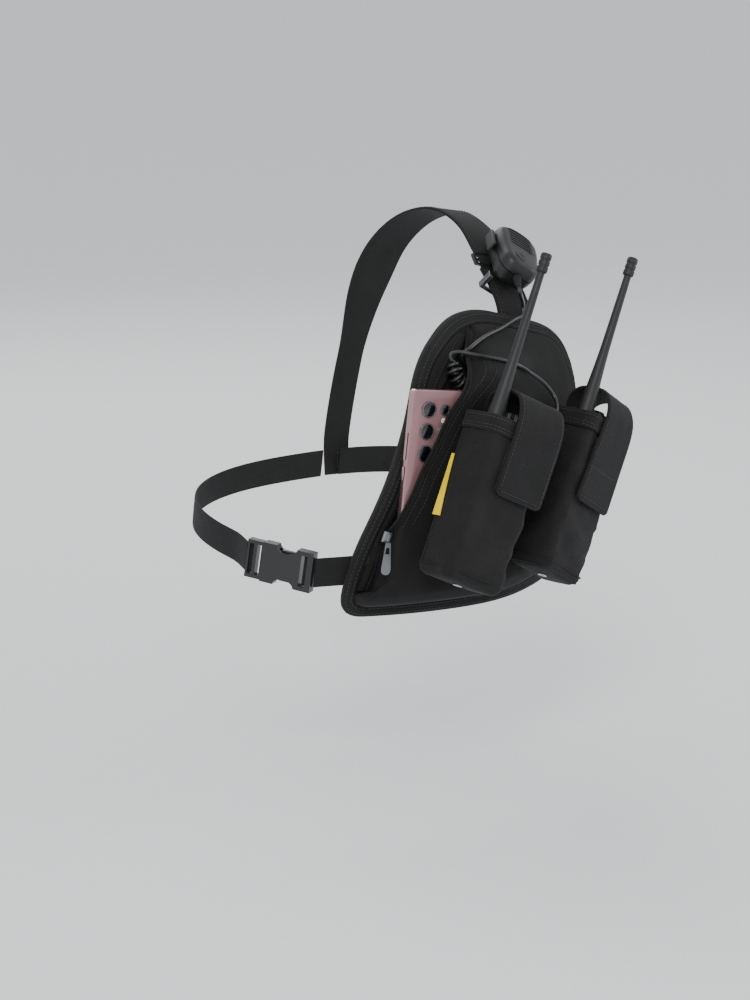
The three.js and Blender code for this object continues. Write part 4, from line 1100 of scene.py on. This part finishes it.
def over_shoulder(points, count):
    path = catmull(points, count)
    outward, across = [], []
    for i, p in enumerate(path):
        along = tangent(path, i)
        out = p - Vector((0.7 * p.x, 10, 120))
        out = (out - along * out.dot(along)).normalized()
        outward.append(out)
        across.append(out.cross(along).normalized())
    return path, across, outward


YOKE_PATH = [(75, -83, 191.5), (78.5, -70, 207), (81, -56, 220)]
STRAP_PATH = [(84.5, -44, 232), (86, -22, 253), (83, 6, 265), (79, 42, 258), (74, 76, 232), (69, 99, 190),
              (63, 112, 140),
              (57, 120, 90), (54, 124, 55), (53, 123.2, 40), (52.5, 121.6, 22)]


def smooth_step(t, a, b):
    t = clamp((t - a) / (b - a))
    return t * t * (3 - 2 * t)


tucked = [on_chest(72, 163, -4.6), on_chest(74, 177, -4.6)]
path, across, outward = over_shoulder([*tucked, *YOKE_PATH], 44)
band("yoke_cloth", path, across, outward, lambda t: 21, 2.9, "harness", NYLON, ("shoulder_yoke",),
     (2.6, 6.0))
path, across, outward = over_shoulder(STRAP_PATH, 150)
band("strap_cloth", path, across, outward, lambda t: 21 - 8.5 * smooth_step(t, 0.45, 0.7), 2.8, "harness",
     WEBBING,
     ("shoulder_strap",), (3.0,))
hard("strap_adjuster", "tri_glide", "harness", SATIN, 0.6, 3)
foot, head = Vector(YOKE_PATH[2]), Vector(STRAP_PATH[0])
climb = (head - foot).normalized()
middle = foot.lerp(head, 0.5)
out = middle - Vector((0.7 * middle.x, 10, 120))
GLIDE = facing_seat(middle, climb.cross(out), out)
threaded = [foot.lerp(head, k / 23) + GLIDE.turn(0, -1, 0) * (2.2 * math.sin(math.pi * k / 23))
            for k in range(24)]
lift_over = [GLIDE.turn(0, -1, 0)] * 24
side_way = [GLIDE.turn(1, 0, 0)] * 24
band("adjuster_webbing", threaded, side_way, lift_over, lambda t: 18.5, 1.4, "harness", WEBBING,
     ())


def belt_point(degrees, lift=2.0):
    angle, power = math.radians(degrees), 2 / TORSO_SQUARENESS
    bend = lambda v: math.copysign(abs(v) ** power, v)
    x = -(TORSO_WIDTH / 2 + lift) * bend(math.sin(angle))
    y = -(TORSO_DEPTH / 2 + lift) * bend(math.cos(angle))
    return Vector((x, y, BELT_HEIGHT + BELT_SLOPE * y))


BUCKLE = standing((-151.5, -58.5, 5.4), -61.7, 8.3, 0)
BELT_ACROSS = Vector((0, -BELT_SLOPE, 1)).normalized()


def belt_band(name, points, body, nodes, count, stitch=None):
    path = catmull(points, count)
    outward = []
    for i, p in enumerate(path):
        out = tangent(path, i).cross(BELT_ACROSS).normalized()
        outward.append(out if out.dot(p - Vector((0, 0, p.z))) > 0 else -out)
    return band(name, path, [BELT_ACROSS] * count, outward, lambda t: 12.5, 1.5, body, WEBBING,
                nodes, stitch)


def around(start, stop, step):
    found, angle = [], start
    while angle <= stop:
        found.append(belt_point(angle))
        angle += step
    return found


def rim(left):
    a, b = (PANEL_CORNERS[0], PANEL_CORNERS[1]) if left else (PANEL_CORNERS[7], PANEL_CORNERS[6])
    return a[0] + (b[0] - a[0]) * (-a[1] / (b[1] - a[1]))


web_y = -4.5 + 0.75
short = [on_chest(rim(True) + 13, 0, -2.6), on_chest(rim(True) + 1, 0, -2.4), BUCKLE.at(29.4, web_y, 0)]
belt_band("short_belt", [*short[:2], short[1].lerp(short[2], 0.5), short[2]], "harness", ("belt_short",), 20)
belt_band("rear_belt", [*around(194, 312, 7), on_chest(rim(False) + 2, 0, -2.0),
                        on_chest(rim(False) - 12, 0, -2.6)], "harness", ("belt_rear",), 120)
side_path = [BUCKLE.at(-29.4, web_y, 0), *around(86, 193.7, 6)]
side_belt = belt_band("side_belt", side_path, None, ("belt_side",), 130)
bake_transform(side_belt)
for far, near, body in ((29.4, 20.6, "harness"), (-29.4, -24.6, "buckle_plug")):
    bends = [(far, 0), ((far + near) / 2, 0.6), (near, 1.2)]
    line = catmull([BUCKLE.at(x, web_y - down, 0) for x, down in bends], 10)
    flat = [BUCKLE.turn(0, -1, 0)] * 10
    band(f"{body}_web_end", line, [BUCKLE.turn(0, 0, 1)] * 10, flat, lambda t: 12.4, 1.4, body,
         WEBBING, ())
box_parts = []
crossing = belt_point(197)
for a, b in (((-9, -9), (9, -9)), ((9, -9), (9, 9)), ((9, 9), (-9, 9)), ((-9, 9), (-9, -9)),
             ((-9, -9), (9, 9)), ((-9, 9), (9, -9))):
    start, stop = (crossing + Vector((q[0], 3.9, q[1])) for q in (a, b))
    box_parts.append(stitches([start, start.lerp(stop, 0.5), stop], [Vector((0, 1, 0))] * 3, 3.0, 2.2, 0.32))
add("belt_box_stitch", merged(box_parts), "harness", THREAD)

# ---- buckle and zip fittings ----
hard("buckle_socket", "buckle_body", "harness", SATIN, 0.7, 3, 30)
hard("buckle_plug", "buckle_tongue", "buckle_plug", SATIN, 0.6, 3, 30)
hard("release_prong_upper", "upper_release", "upper_prong", SATIN, 0.5, 3, 30)
hard("release_prong_lower", "lower_release", "lower_prong", SATIN, 0.5, 3, 30)
hard("zip_slider", "zip_car", "slider", GUNMETAL, 0.5, 3)
hard("zip_pull", "zip_handle", "pull", GUNMETAL, 0.35, 3)

# ---- floor ----
FLOOR_REACH, FLOOR_DROP = 60, 0.14
low = cad_box[0][2]
floor_mesh = bpy.data.meshes.new("floor")
corners = [(x * FLOOR_REACH, y * FLOOR_REACH, low - FLOOR_DROP) for x,
           y in ((-1, -1), (1, -1), (1, 1), (-1, 1))]
floor_mesh.from_pydata(corners, [], [(0, 1, 2, 3)])
floor = placed("floor", floor_mesh)
floor.data.materials.append(FLOOR)
